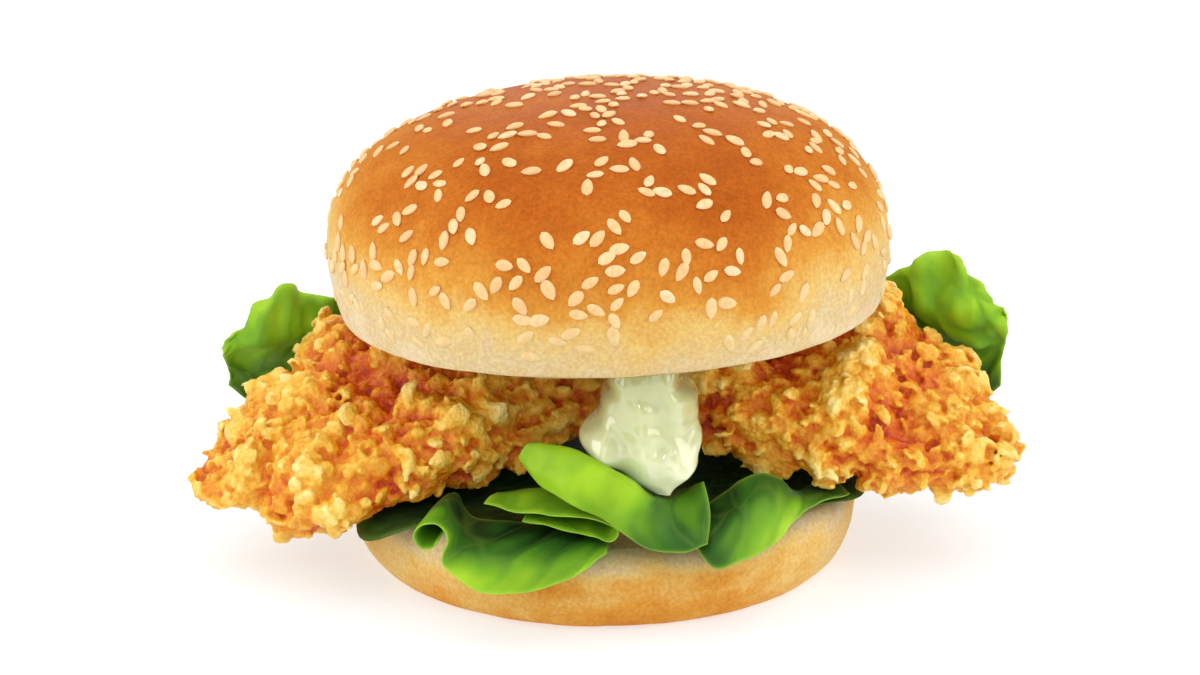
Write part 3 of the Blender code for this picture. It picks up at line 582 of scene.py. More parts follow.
def curve_through(points, samples):
    """Evenly numbered samples of a smooth curve through the points (Catmull-Rom)."""
    points = np.asarray(points, float)
    spans = len(points) - 1
    padded = np.concatenate([[points[0] * 2 - points[1]], points, [points[-1] * 2 - points[-2]]])
    at = np.linspace(0, spans, samples)
    span = np.minimum(at.astype(int), spans - 1)
    t = (at - span).reshape((-1,) + (1,) * (points.ndim - 1))
    a, b, c, d = (padded[span + offset] for offset in range(4))
    return (b * 2 + (c - a) * t + (a * 2 - b * 5 + c * 4 - d) * t**2 + (b * 3 - a - c * 3 + d) * t**3) / 2


def curve_at(levels, shares):
    """Evenly spread levels read off at shares from 0 to 1."""
    return np.interp(shares, np.linspace(0, 1, len(levels)), levels)


def strips_face(trees, x, z, ahead):
    """How far the part's strips reach along +Y or -Y around a point of the X-Z plane, or None."""
    reached = []
    for dx in (-PROBE_REACH, 0.0, PROBE_REACH):
        for dz in (-PROBE_REACH, 0.0, PROBE_REACH):
            origin = Vector((x + dx, -120.0 * ahead, z + dz)) * MM
            for tree in trees:
                hit = tree.ray_cast(origin, Vector((0, ahead, 0)))[0]
                if hit is not None:
                    reached.append(hit.y / MM)
    if not reached:
        return None
    return min(reached) if ahead > 0 else max(reached)


def net_grid(net, along, across):
    """A fine grid of points on the smooth surface through a small net of points."""
    fine = curve_through(np.swapaxes(np.asarray(net, float), 0, 1), along)
    return curve_through(np.swapaxes(fine, 0, 1), across)


def grid_faces(rows, columns, closed=False):
    """Quads of a grid of points that are numbered row by row."""
    faces = []
    for row in range(rows - 1):
        for column in range(columns if closed else columns - 1):
            a, b = row * columns + column, row * columns + (column + 1) % columns
            faces.append((a, b, b + columns, a + columns))
    return faces


def capped_faces(rings, sides):
    """Faces of rings of points with one more point before the first ring and one after the last."""
    faces = [tuple(index + 1 for index in face) for face in grid_faces(rings, sides, closed=True)]
    last = 1 + rings * sides
    for side in range(sides):
        following = (side + 1) % sides
        faces.append((0, following + 1, side + 1))
        faces.append((last, last - sides + side, last - sides + following))
    return faces


# Bun


def lathe(name, profile, surface):
    """A turned solid from (radius, height) points that start and end on the axis."""
    ring = np.linspace(0, math.tau, BUN_SEGMENTS, endpoint=False)
    points = [(0.0, 0.0, profile[0][1])]
    for radius, height in profile[1:-1]:
        points += [(radius * math.cos(turn), radius * math.sin(turn), height) for turn in ring]
    points.append((0.0, 0.0, profile[-1][1]))
    return mesh_object(name, points, capped_faces(len(profile) - 2, BUN_SEGMENTS), surface)


def quarter(steps):
    """The (cosine, sine) pairs of a quarter turn, without its start."""
    turns = [math.pi / 2 * step / steps for step in range(1, steps + 1)]
    return [(math.cos(turn), math.sin(turn)) for turn in turns]


def unevenness(point, seed):
    """How far a hand-shaped bun swells or sinks at a point, in millimetres."""
    return BUN_UNEVENNESS * noise.noise(point / BUN_LUMP_SIZE + Vector((seed, 0, 0)))


def swell(obj, seed, flat_below, flat_above):
    """Moves the bun's side in and out as in the part, and adds shallow dents and wrinkles to its skin."""
    shift = Vector((0, seed, 0))
    moved = []
    for place_mm, normal in zip(points_of(obj), normals_of(obj)):
        point = Vector(place_mm)
        if flat_below < point.z < flat_above:
            out = Vector((point.x, point.y, 0.0))
            if out.length > 1.0:
                point += out.normalized() * 2.0 * unevenness(point, seed)
        if point.z > flat_below:
            dent = SKIN_DENT * noise.noise(point / SKIN_DENT_SIZE + shift)
            wrinkle = SKIN_WRINKLE * noise.noise(point / SKIN_WRINKLE_SIZE - shift)
            point += Vector(normal) * (dent + wrinkle)
        moved.append(point)
    move_points(obj, moved)


def heel_profile(belly_steps=26, shoulder_steps=16, top_steps=26):
    """Half section of the heel: flat base, rounded belly, shoulder and slightly crowned cut top."""
    belly = HEEL_RADIUS - HEEL_BASE_RADIUS
    edge = HEEL_RADIUS - HEEL_SHOULDER
    rise = HEEL_HEIGHT - HEEL_WIDEST_Z
    points = [(HEEL_BASE_RADIUS * step / 6, 0.0) for step in range(7)]
    points += [(HEEL_BASE_RADIUS + belly * s, HEEL_WIDEST_Z * (1 - c)) for c, s in quarter(belly_steps)]
    for c, s in quarter(shoulder_steps):
        points.append((HEEL_RADIUS - HEEL_SHOULDER * (1 - c), HEEL_WIDEST_Z + rise * s))
    shares = [step / top_steps for step in range(1, top_steps + 1)]
    return points + [(edge * (1 - share), HEEL_HEIGHT + HEEL_TOP_CROWNING * share) for share in shares]


def make_heel(surface):
    """Bottom bun half: golden side, pale floury shoulder and cut top."""
    obj = lathe("heel_bread", heel_profile(), surface)
    swell(obj, HEEL_SHAPE, 0.05, HEEL_HEIGHT - 0.05)
    bake = []
    for x, y, z in points_of(obj):
        blotch = noise.noise(Vector((x, y, z * 2.2)) / 15.0)
        streak = noise.noise(Vector((x / 3.0, y / 3.0, z)) / 2.4)
        pale = 1 / (1 + math.exp(-(z - 11.8 - 2.2 * blotch - 0.8 * streak) / 0.7))
        inside = math.hypot(x, y) < HEEL_RADIUS - HEEL_SHOULDER and z > HEEL_HEIGHT - 1
        # Paler towards the left and right sides: partly painted light, partly a lighter bake
        level = 0.52 + 0.14 * blotch + 0.08 * streak - 0.008 * z + painted_side_light(x)
        bake.append(0.12 + 0.05 * streak if inside else level * (1 - pale) + (0.12 + 0.12 * streak) * pale)
    store(obj, "bake", bake)
    place(obj, "bun_heel", "bun_heel")


def crown_profile(dome_steps=90, tuck_steps=16, cut_steps=18):
    """Half section of the crown: cut face, small rounded rim, tucked side and dome."""
    rim, rim_rise = CROWN_RIM_RADIUS - CROWN_RIM_ROUND, CROWN_RIM_ROUND * 0.4
    points = [(rim * step / cut_steps, 0.0) for step in range(cut_steps + 1)]
    points += [(rim + CROWN_RIM_ROUND * s * 0.97, rim_rise * (1 - c)) for c, s in quarter(6)[:-1]]
    for step in range(1, tuck_steps):
        rise = step / tuck_steps
        tuck = (CROWN_RADIUS - CROWN_RIM_RADIUS) * (1 - rise) ** CROWN_TUCK_POWER
        points.append((CROWN_RADIUS - tuck, rim_rise + (CROWN_WIDEST_Z - rim_rise) * rise))
    power = 2 / CROWN_DOME_POWER
    dome = CROWN_HEIGHT - CROWN_WIDEST_Z
    for c, s in [(1.0, 0.0), *quarter(dome_steps)[:-1]]:
        points.append((CROWN_RADIUS * c**power, CROWN_WIDEST_Z + dome * s**power))
    return [*points, (0.0, CROWN_HEIGHT)]


def dome_radius(height):
    """Radius of the crown at a height above its cut face."""
    if height <= CROWN_WIDEST_Z:
        left = 1 - height / CROWN_WIDEST_Z
        return CROWN_RADIUS - (CROWN_RADIUS - CROWN_RIM_RADIUS) * left**CROWN_TUCK_POWER
    share = min(1.0, (height - CROWN_WIDEST_Z) / (CROWN_HEIGHT - CROWN_WIDEST_Z))
    return CROWN_RADIUS * (1 - share**CROWN_DOME_POWER) ** (1 / CROWN_DOME_POWER)


def dome_line():
    """Points (radius, height) up the crown's side to its top, as in the part."""
    low = [SEED_LOWEST_Z + (CROWN_WIDEST_Z - SEED_LOWEST_Z) * step / 8 for step in range(8)]
    line = [(dome_radius(height), height) for height in low]
    for step in range(60):
        turn = math.pi / 2 * step / 60
        height = CROWN_WIDEST_Z + (CROWN_HEIGHT - CROWN_WIDEST_Z) * math.sin(turn)
        line.append((dome_radius(height), height))
    line.append((0.5, CROWN_HEIGHT))
    return line


def seed_places():
    """Point, heading and size of each seed: the part's seeds, then more that gather near them."""
    draw = random.Random(SEED_DRAW)
    line = dome_line()
    spans = list(zip(line, line[1:]))
    areas = [(a[0] + b[0]) * math.dist(a, b) for a, b in spans]
    places = []
    while len(places) < SEED_ALL:
        (low_radius, low), (high_radius, high) = draw.choices(spans, areas)[0]
        share = draw.random()
        radius = low_radius + (high_radius - low_radius) * share
        height = low + (high - low) * share
        around = draw.uniform(-math.pi, math.pi)
        heading = draw.uniform(0.0, math.pi)
        size = draw.uniform(0.86, 1.12)
        out = Vector((math.cos(around), math.sin(around), 0.0))
        point = out * radius + Vector((0, 0, height))
        point += out * 2.0 * unevenness(point, CROWN_SHAPE) * (height < CROWN_HEIGHT - 0.1)
        nearest = min(((point - other[0]).length for other in places), default=math.inf)
        if len(places) < SEED_COUNT:
            fits = nearest > SEED_SPACING
        else:
            clustered = nearest < SEED_CLUSTER_REACH or draw.random() < SEED_LONE_SHARE
            has_room = nearest > SEED_TOUCHING and clustered
            fits = has_room and draw.random() < 0.6 + 0.4 * height / CROWN_HEIGHT
        if fits:
            places.append((point, heading, size))
    return places


def seed_form():
    """One seed of unit length: a flat drop that is blunt at one end and narrower at the other."""
    points, middle = [], []
    for section in range(SEED_SECTIONS):
        along = section / (SEED_SECTIONS - 1)
        width = math.sin(math.pi * along**1.15) ** 0.5 * 0.5 if 0 < along < 1 else 0.0
        for side in range(SEED_SIDES):
            turn = math.tau * side / SEED_SIDES
            points.append((0.5 - along, math.cos(turn) * width, math.sin(turn) * width))
            middle.append(max(0.0, math.sin(turn)) * 2 * width)
    return np.array(points), grid_faces(SEED_SECTIONS, SEED_SIDES, closed=True), middle


def painted_side_light(x):
    """How much paler the bun is painted towards its left and right sides: partly painted light for its
    brighter lit sides, partly a lighter bake there.
    """
    return float(np.interp(x, *zip(*BUN_PAINTED_SIDE_LIGHT)))


def make_seeds(surface, crust):
    """All sesame seeds as one mesh, each lying on the crust."""
    draw = random.Random(SEED_DRAW + 1)
    form, form_faces, form_middle = seed_form()
    points, faces, tints, sunk, middles = [], [], [], [], []
    for point, heading, size in seed_places():
        spot, normal, _, _ = crust.find_nearest(point * MM)
        point = spot / MM
        tangent = normal.orthogonal().normalized()
        tangent = tangent * math.cos(heading) + normal.cross(tangent) * math.sin(heading)
        tangent = (tangent + normal * draw.gauss(0.0, 0.09)).normalized()
        across = normal.cross(tangent).normalized()
        in_band = max(0.0, min(1.0, (SEED_BAND_TOP - point.z) / SEED_BAND_DEPTH))
        lift = SEED_SHOWING * size - SEED_SINK * in_band
        size *= SEED_LOOK_SHARE
        wide = SEED_WIDTH * size * draw.uniform(0.9, 1.1)
        local = form * np.array([SEED_LENGTH * size, wide, SEED_LOOK_THICKNESS * size])
        axes = np.array([tangent, across, tangent.cross(across)])
        placed = local @ axes + np.array(point) + np.array(normal) * lift
        faces += [tuple(index + len(points) for index in face) for face in form_faces]
        points += placed.tolist()
        tints += [draw.random()] * len(form)
        sunk += [SEED_SUNKEN_TINT * in_band] * len(form)
        middles += [value * draw.uniform(0.1, 0.7) for value in form_middle]
    obj = mesh_object("sesame_seeds", points, faces, surface)
    store(obj, "tint", tints)
    store(obj, "sunken", sunk)
    store(obj, "middle", middles)
    return obj


def set_on_burger(obj):
    """Moves a mesh from the crown's own frame to its tilted place on the burger."""
    tilt = math.radians(CROWN_TILT_DEG)
    c, s = math.cos(tilt), math.sin(tilt)
    turn = np.array([[c, 0, s], [0, 1, 0], [-s, 0, c]])
    move_points(obj, points_of(obj) @ turn.T + np.array(CROWN_CENTRE))


def make_crown(bread, sesame):
    """Top bun half, browned on its dome and pale at its rim, with its sesame seeds."""
    obj = lathe("crown_bread", crown_profile(), bread)
    swell(obj, CROWN_SHAPE, 0.05, CROWN_HEIGHT - 0.1)
    bake = []
    for x, y, z in points_of(obj):
        blotch = noise.noise(Vector((x, y, z)) / 16.0 + Vector((5, 0, 0)))
        edge = noise.noise(Vector((x, y, z)) / 6.0)
        height = z + 2.6 * blotch + 1.2 * edge
        side = 1 / (1 + math.exp(-(height - 7.8) / 2.6))
        dome = max(0.0, min(1.0, (height - 9.5) / 18.0))
        # Paler towards the left and right sides: partly painted light, partly a lighter bake
        level = 0.13 + 0.37 * side + 0.36 * dome + 0.06 * blotch + (0.4 + 0.6 * side) * painted_side_light(x)
        bake.append(level if z > 0.05 else 0.1)
    store(obj, "bake", bake)
    bpy.context.view_layer.update()
    crust = BVHTree.FromObject(obj, bpy.context.evaluated_depsgraph_get())
    seeds = make_seeds(sesame, crust)
    for piece in (obj, seeds):
        set_on_burger(piece)
    place(obj, "bun_crown", "bun_crown")
    place(seeds, "bun_crown")


def crown_underside_z(x):
    """Height of the crown's tilted cut face above a point."""
    slope = -math.tan(math.radians(CROWN_TILT_DEG))
    return CROWN_CENTRE.z + slope * (x - CROWN_CENTRE.x)


# Chicken


def crags(point, seed):
    """Height of the crust at a point: broad swells with round lumps of two sizes, in millimetres."""
    shift = Vector((seed, seed * 0.37, -seed))
    swell_height = noise.noise(point / LUMP_SIZE - shift)
    lump = noise.voronoi(point / CRAG_SIZE + shift)[0][0]
    crumb = noise.voronoi(point / CRUMB_SIZE - shift)[0][0]
    return (
        LUMP_HEIGHT * swell_height
        + CRAG_HEIGHT * (CRAG_LEVEL - lump)
        + CRUMB_HEIGHT * (CRAG_LEVEL - crumb)
    )


def nubs(point):
    """Height of the batter's rounded lumps at a point, in millimetres."""
    bent = point + noise.noise_vector(point / NUB_WARP_SIZE) * NUB_WARP
    height = 0.0
    for size, tall in NUBS:
        near = noise.voronoi(bent / size)[0][0]
        height += tall * (0.6 - min(near, 1.0) ** 2 * 1.4)
    return height


def base_leaf_radius(around):
    """Outline of the bottom leaf at directions in radians, with the lobes that stick out of the bun."""
    reach = BASE_LEAF_RADIUS + 0.8 * np.sin(9 * around)
    for direction, extra, width in BASE_LEAF_BULGES:
        away = (np.degrees(around) - direction + 180) % 360 - 180
        reach = reach + extra * np.exp(-((away / width) ** 2))
    return reach


def leaf_droop(radius):
    """How far the bottom leaf hangs down where it sticks out past the heel."""
    past = np.maximum(0.0, radius - HEEL_RADIUS + 1.0)
    return past * past * BASE_LEAF_DROOP


def press(points, side):
    """Keeps crust points clear of the bed, the crown above and the strip beside them."""
    x, y, z = points.T.copy()
    radius = np.hypot(x, y)
    edge = base_leaf_radius(np.arctan2(y, x)) + STRIP_BED_REACH
    leaf_top = BASE_LEAF_Z + 2 * BASE_LEAF_WAVE + LEAF_THICKNESS / 2 + STRIP_BED_GAP
    bed = leaf_top - leaf_droop(np.minimum(radius, edge)) - STRIP_BED_FALL * np.maximum(0.0, radius - edge)
    z = np.maximum(z, bed)
    under_crown = np.hypot(x - CROWN_CENTRE.x, y) < STRIP_ROOF_RADIUS
    z = np.where(under_crown, np.minimum(z, crown_underside_z(x) - STRIP_ROOF_GAP), z)
    limit = STRIP_PARTING_X + side * STRIP_PARTING_GAP
    x = np.maximum(x, limit) if side > 0 else np.minimum(x, limit)
    return np.stack([x, y, z], axis=1)


def strip_frame(spine):
    """Centres, half sizes and directions of the rings along a strip, with rounded ends."""
    centres = curve_through([p for p, _, _, _ in spine], STRIP_RINGS)
    sizes = curve_through([s[1:] for s in spine], STRIP_RINGS)
    share = np.linspace(0, 1, STRIP_RINGS)
    near_end = np.minimum(share, 1 - share) / STRIP_END_ROUND
    pinch = np.sqrt(np.maximum(0.0, 1 - np.maximum(0.0, 1 - near_end) ** 2))
    ahead = np.gradient(centres, axis=0)
    ahead /= np.linalg.norm(ahead, axis=1, keepdims=True)
    level = np.array([0.0, 1.0, 0.0]) - ahead * ahead[:, 1:2]
    level /= np.linalg.norm(level, axis=1, keepdims=True)
    upright = np.cross(ahead, level)
    upright *= np.sign(upright[:, 2:3])
    lean = np.radians(sizes[:, 2:3])
    back = level * np.cos(lean) + upright * np.sin(lean)
    up = upright * np.cos(lean) - level * np.sin(lean)
    return centres, sizes[:, 0] * pinch, sizes[:, 1] * pinch, back, up


def strip_form(spine, seed, side):
    """Points, faces, outward directions and crag heights of a strip's surface."""
    centres, wides, thicks, backs, ups = strip_frame(spine)
    c, s = squircle(np.linspace(0, math.tau, STRIP_SIDES, endpoint=False), STRIP_SQUARENESS)
    ends = np.gradient(centres, axis=0)
    points, outs, heights = [centres[:1]], [-ends[:1]], [np.zeros(1)]
    for index in range(1, STRIP_RINGS - 1):
        wide, thick = wides[index], thicks[index]
        ring = centres[index] + np.outer(c * wide, backs[index]) + np.outer(s * thick, ups[index])
        out = np.outer(c / wide, backs[index]) + np.outer(s / thick, ups[index])
        out /= np.linalg.norm(out, axis=1, keepdims=True)
        height = np.array([crags(Vector(point), seed) + nubs(Vector(point)) for point in ring])
        points.append(ring + out * (height - STRIP_SINK)[:, None])
        outs.append(out)
        heights.append(height)
    points.append(centres[-1:])
    outs.append(ends[-1:])
    heights.append(np.zeros(1))
    faces = capped_faces(STRIP_RINGS - 2, STRIP_SIDES)
    return press(np.concatenate(points), side), faces, np.concatenate(outs), np.concatenate(heights)


def crinkled(points):
    """The points with fine crinkles, as crisp batter has."""
    shifts = [noise.noise_vector(Vector(point) / CRINKLE_SIZE) for point in points]
    return points + CRINKLE * np.array(shifts)


def quad_spots(points, faces):
    """Centres, unit normals and areas of the quads of a mesh, with the index of each quad's corners."""
    quads = np.array([face for face in faces if len(face) == 4])
    corners = points[quads]
    normals = np.cross(corners[:, 2] - corners[:, 0], corners[:, 3] - corners[:, 1])
    doubled = np.linalg.norm(normals, axis=1)
    return corners.mean(axis=1), normals / np.maximum(doubled, 1e-9)[:, None], doubled / 2


def scatter(surface_spots, kind, draw):
    """Places and outward directions picked by area, thick in some areas and thin in others."""
    centres, normals, areas = surface_spots
    tried = kind["count"] * 2
    picked = draw.choice(len(centres), tried, p=areas / areas.sum())
    spots = centres[picked]
    thick = np.array([noise.noise(Vector(spot) / PATCH_SIZE) for spot in spots])
    kept = np.argsort(draw.normal(0, kind["gather"], tried) - thick)[: kind["count"]]
    return spots[kept] + draw.normal(0, 0.15, (len(kept), 3)), normals[picked][kept]


def joined(sets):
    """One list of points and faces from several (points of each copy, faces of one copy)."""
    points, faces = [], []
    start = 0
    for copies, form in sets:
        per_copy = copies.shape[1]
        points.append(copies.reshape(-1, 3))
        for copy in range(len(copies)):
            base = start + copy * per_copy
            faces += [tuple(index + base for index in face) for face in form]
        start += len(copies) * per_copy
    return np.concatenate(points), faces


def modified(obj, kind, **settings):
    """Applies one modifier to an object's mesh."""
    modifier = obj.modifiers.new("Shape", kind)
    for name, value in settings.items():
        setattr(modifier, name, value)
    bpy.context.view_layer.update()
    graph = bpy.context.evaluated_depsgraph_get()
    mesh = bpy.data.meshes.new_from_object(obj.evaluated_get(graph))
    obj.modifiers.clear()
    old, obj.data = obj.data, mesh
    bpy.data.meshes.remove(old)


def fuse(obj):
    """Melts a mesh of overlapping bodies into one closed skin, with fine granules, of a bounded size."""
    modified(obj, "REMESH", mode="VOXEL", voxel_size=CRUST_VOXEL * MM)
    points = points_of(obj)
    fine = np.array([granules(Vector(point)) for point in points])
    move_points(obj, points + normals_of(obj) * fine[:, None])
    modified(obj, "DECIMATE", ratio=min(1.0, CRUST_TRIANGLES / (2 * len(obj.data.polygons))))
    obj.data.shade_smooth()


def smoothed(obj, points, steps):
    """Points after each has moved to the middle of its neighbours a number of times."""
    pairs = np.zeros(len(obj.data.edges) * 2, np.int32)
    obj.data.edges.foreach_get("vertices", pairs)
    a, b = pairs.reshape(-1, 2).T
    ends, others = np.concatenate([a, b]), np.concatenate([b, a])
    count = len(points)
    share = np.maximum(1, np.bincount(ends, minlength=count))[:, None]
    for _ in range(steps):
        total = [np.bincount(ends, points[others, axis], minlength=count) for axis in range(3)]
        points = np.stack(total, axis=1) / share
    return points


def lump_form(rings, corners):
    """Points and faces of a unit ball with a point at each pole."""
    down = math.pi * np.arange(1, rings)[:, None] / rings
    turns = np.linspace(0, math.tau, corners, endpoint=False)[None]
    level = np.cos(down) + 0 * turns
    ball = np.stack([np.sin(down) * np.cos(turns), np.sin(down) * np.sin(turns), level], axis=2)
    points = np.concatenate([[[0.0, 0.0, 1.0]], ball.reshape(-1, 3), [[0.0, 0.0, -1.0]]])
    faces = capped_faces(rings - 1, corners)
    return points, [face[::-1] if len(face) == 4 else (face[0], face[2], face[1]) for face in faces]


def lumps(kind, spots, normals, draw, ahead=None):
    """Copies of one uneven lump, roots sunk and tips raised: points, faces and tip shares."""
    count = len(spots)
    form, faces = lump_form(kind["rings"], kind["corners"])
    low, high = kind["length"]
    length = low + (high - low) * draw.random(count) ** kind["few_long"]
    width = length * draw.uniform(*kind["width"], count)
    thick = length * draw.uniform(*kind["thickness"], count)
    turns = np.arctan2(form[:, 1], form[:, 0])[None]
    wobble = 1 + sum(
        share * np.sin(times * turns + draw.uniform(0, math.tau, (count, 1)))
        for times, share in ((2, 0.12), (3, 0.12), (5, 0.05))
    )
    local = form[None] * np.stack([length, width, thick], axis=1)[:, None]
    local[:, :, :2] *= wobble[:, :, None]
    bend = draw.uniform(*kind["bend"], (count, 1)) / length[:, None]
    local[:, :, 2] += bend * local[:, :, 0] ** 2
    if ahead is None:
        swirl = np.array([noise.noise(Vector(spot) / 14.0) for spot in spots]) * 5.0
        forward, sideways = tangents(normals, swirl + draw.normal(0, 0.8, count))
    else:
        forward = ahead - normals * (ahead * normals).sum(axis=1, keepdims=True)
        forward /= np.linalg.norm(forward, axis=1, keepdims=True)
        sideways = np.cross(normals, forward)
    tilt = draw.uniform(*kind["tilt"], count)
    tilt_column = tilt[:, None]
    x_axis = forward * np.cos(tilt_column) + normals * np.sin(tilt_column)
    z_axis = normals * np.cos(tilt_column) - forward * np.sin(tilt_column)
    axes = np.stack([x_axis, sideways, z_axis], axis=1)
    lift = (length * np.sin(tilt) * 0.55 + thick * kind["lift"])[:, None]
    placed = np.einsum("nkj,nji->nki", local, axes) + (spots + normals * lift)[:, None]
    return placed, faces, np.broadcast_to(form[:, 0], (count, len(form)))


def tangents(normals, heading):
    """Two directions square to each normal, turned by a heading."""
    helper = np.where(np.abs(normals[:, 2:3]) < 0.9, [[0.0, 0.0, 1.0]], [[1.0, 0.0, 0.0]])
    aside = np.cross(normals, helper)
    aside /= np.linalg.norm(aside, axis=1, keepdims=True)
    across = np.cross(normals, aside)
    c, s = np.cos(heading)[:, None], np.sin(heading)[:, None]
    return aside * c + across * s, across * c - aside * s


def crust_tone(points, cavity_shade, tint, heights):
    """How gold each point of the crust is: peaks and ends high, hollows low, in broad patches. The hollows'
    darkness and the peaks' paleness are partly the crumb's own colour and partly painted shade and
    highlight; the front middle is painted a little lighter against the crown's shadow.
    """
    relief = np.clip(heights / RELIEF_RANGE, -1, 1)
    patch = np.array([noise.noise(Vector(point) / 11.0) for point in points])
    outward_share = np.clip((np.abs(points[:, 0]) - 30.0) / 40.0, 0, 1)
    # Painted light: the crust near the front middle, in the crown's shadow, is made a little lighter
    inward_painted_light = np.clip(1 - np.hypot(points[:, 0], points[:, 1] + 30) / 45.0, 0, 1)
    # The relief and cavity terms are partly the crumb's own darker hollows and partly painted shade in the
    # hollows and painted highlight on the peaks
    tone = 0.39 + 0.3 * relief + 0.19 * np.clip(cavity_shade, -1.2, 1.2) + 0.17 * patch + tint
    return np.clip(tone + 0.1 * outward_share + 0.04 * inward_painted_light, 0.0, 1.0)


def granules(point):
    """Height of the fine crumb at a point: grainy in some areas and smoother in others."""
    grainy = min(1.0, max(0.15, 0.5 + 1.8 * noise.noise(point / GRANULE_PATCH)))
    cell = noise.voronoi(point / GRANULE_SIZE)[0][0]
    return FINE_RELIEF * noise.noise(point / FINE_RELIEF_SIZE) + GRANULE_HEIGHT * grainy * (0.45 - cell)


def front_flakes(flakes, crags_tree, draw):
    """The flakes that stand out in front, each where a line from the front meets the crust."""
    made = []
    for x, z, heading, half, wide, thick, tilt in flakes:
        spot, normal, _, _ = crags_tree.ray_cast(Vector((x, -120.0, z)), Vector((0, 1, 0)))
        if spot is None:
            spot, normal, _, _ = crags_tree.find_nearest(Vector((x, -30.0, z)))
        normal = -normal if normal.y > 0 else normal
        kind = {**RAISED_PETALS, "length": (half, half), "width": (wide, wide)}
        kind.update({"thickness": (thick, thick), "tilt": (tilt, tilt)})
        turn = math.radians(heading)
        ahead = np.array([[math.cos(turn), 0.0, math.sin(turn)]])
        made.append(lumps(kind, np.array([spot]), np.array([normal]), draw, ahead))
    return np.concatenate([placed for placed, _, _ in made]), made[0][1], made[0][2][0]


def make_strip(name, node, spine, seed, side, flakes, surface):
    """One crumbed strip: the part's crags at a fine step, with petals and nubs of batter fused on."""
    draw = np.random.default_rng(int(seed) + 40)
    points, faces, outs, heights = strip_form(spine, seed, side)
    flip = 1 if outward(points, faces, outs) else -1
    spots = quad_spots(points, faces)
    sets = [(points[None], faces if flip > 0 else [face[::-1] for face in faces])]
    tints = [np.full(len(points), -0.03)]
    for kind in (PETALS, RAISED_PETALS, ROUND_NUBS):
        kind_spots, normals = scatter(spots, kind, draw)
        placed, form, tips = lumps(kind, kind_spots, normals * flip, draw)
        sets.append((placed, form))
        own = draw.normal(kind["tone"], kind["tint"], len(placed))[:, None]
        tints.append((own + kind["tip"] * tips).ravel())
    crags_tree = BVHTree.FromPolygons(points.tolist(), faces)
    placed, form, tips = front_flakes(flakes, crags_tree, draw)
    sets.append((placed, form))
    tints.append(np.tile(FLAKE_TONE + RAISED_PETALS["tip"] * tips, len(placed)))
    all_points, all_faces = joined(sets)
    all_points = press(crinkled(all_points), side)
    all_tints = np.concatenate(tints)
    obj = mesh_object(name, all_points, all_faces, surface)
    crumbs = BVHTree.FromPolygons(all_points.tolist(), all_faces)
    fuse(obj)
    fused, normals = points_of(obj), normals_of(obj)
    # Painted shade: points lying below the smoothed skin are stored darker, as an occlusion map would make
    # them
    cavity_shade = ((fused - smoothed(obj, fused, CAVITY_SHADE_STEPS)) * normals).sum(axis=1) / CAVITY_SHADE_RANGE
    tint, height = [], []
    for point in fused:
        vec = Vector(point)
        tint.append(all_tints[all_faces[crumbs.find_nearest(vec)[2]][0]])
        height.append(heights[faces[crags_tree.find_nearest(vec)[2]][0]])
    store(obj, "tone", crust_tone(fused, cavity_shade, np.array(tint), np.array(height)))
    move_points(obj, press(fused, side))
    place(obj, "chicken", node)


def outward(points, faces, outs):
    """Whether the quads face the same way as the outward directions."""
    quads = np.array([face for face in faces if len(face) == 4])
    corners = points[quads]
    normals = np.cross(corners[:, 2] - corners[:, 0], corners[:, 3] - corners[:, 1])
    return (normals * outs[quads[:, 0]]).sum() > 0


# Lettuce


def base_leaf_grid(rings=30, sectors=220):
    """The bottom leaf: a wavy disc on the heel that hangs over its edge a little."""
    around = np.linspace(0, math.tau, sectors, endpoint=False)[None]
    share = np.linspace(0.35, 1.0, rings)[:, None]
    radius = base_leaf_radius(around) * share
    wave = BASE_LEAF_WAVE * (1 + np.sin(7 * around + 5 * share)) * share
    z = BASE_LEAF_Z + wave - leaf_droop(radius)
    return np.stack([radius * np.cos(around), radius * np.sin(around), z], axis=2)


def roll(centre, tight, loose, start_deg, end_deg, count, lean):
    """Points round a leaf edge rolled from a tight to a loose radius, each set back by lean."""
    points = []
    for index in range(count):
        share = index / (count - 1)
        turn = math.radians(start_deg + (end_deg - start_deg) * share)
        radius = tight + (loose - tight) * share
        points.append(
            (
                centre[0] + radius * math.cos(turn),
                centre[1] + lean * index,
                centre[2] + radius * math.sin(turn),
            )
        )
    return points


def front_left_net():
    """The leaf that drapes over the heel's front edge, with its left side rolled up."""
    edge = roll((-30.0, -50.5, 18.6), 1.7, 2.9, -20.0, -300.0, 6, 0.2)
    edge += [(-26.9, -51.0, 18.0), (-27.0, -53.5, 14.6), (-20.0, -56.6, 11.2)]
    edge += [(-11.5, -57.0, 12.0), (-4.0, -55.2, 14.2), (1.0, -51.6, 16.5)]
    middle = roll((-28.6, -44.0, 19.6), 1.5, 2.5, -20.0, -300.0, 6, 0.15)
    middle += [(-25.6, -45.0, 18.9), (-24.6, -49.4, 17.2), (-19.0, -51.6, 16.4)]
    middle += [(-11.5, -52.0, 16.4), (-4.0, -51.0, 16.5), (1.2, -48.8, 16.9)]
    inner = roll((-27.0, -37.5, 20.2), 1.1, 1.9, -20.0, -300.0, 6, 0.1)
    inner += [(-24.6, -38.0, 19.4), (-22.6, -40.0, 18.4), (-18.0, -41.0, 18.2)]
    inner += [(-11.5, -41.5, 18.0), (-4.5, -42.5, 17.9), (1.2, -45.5, 17.7)]
    return [edge, middle, inner]


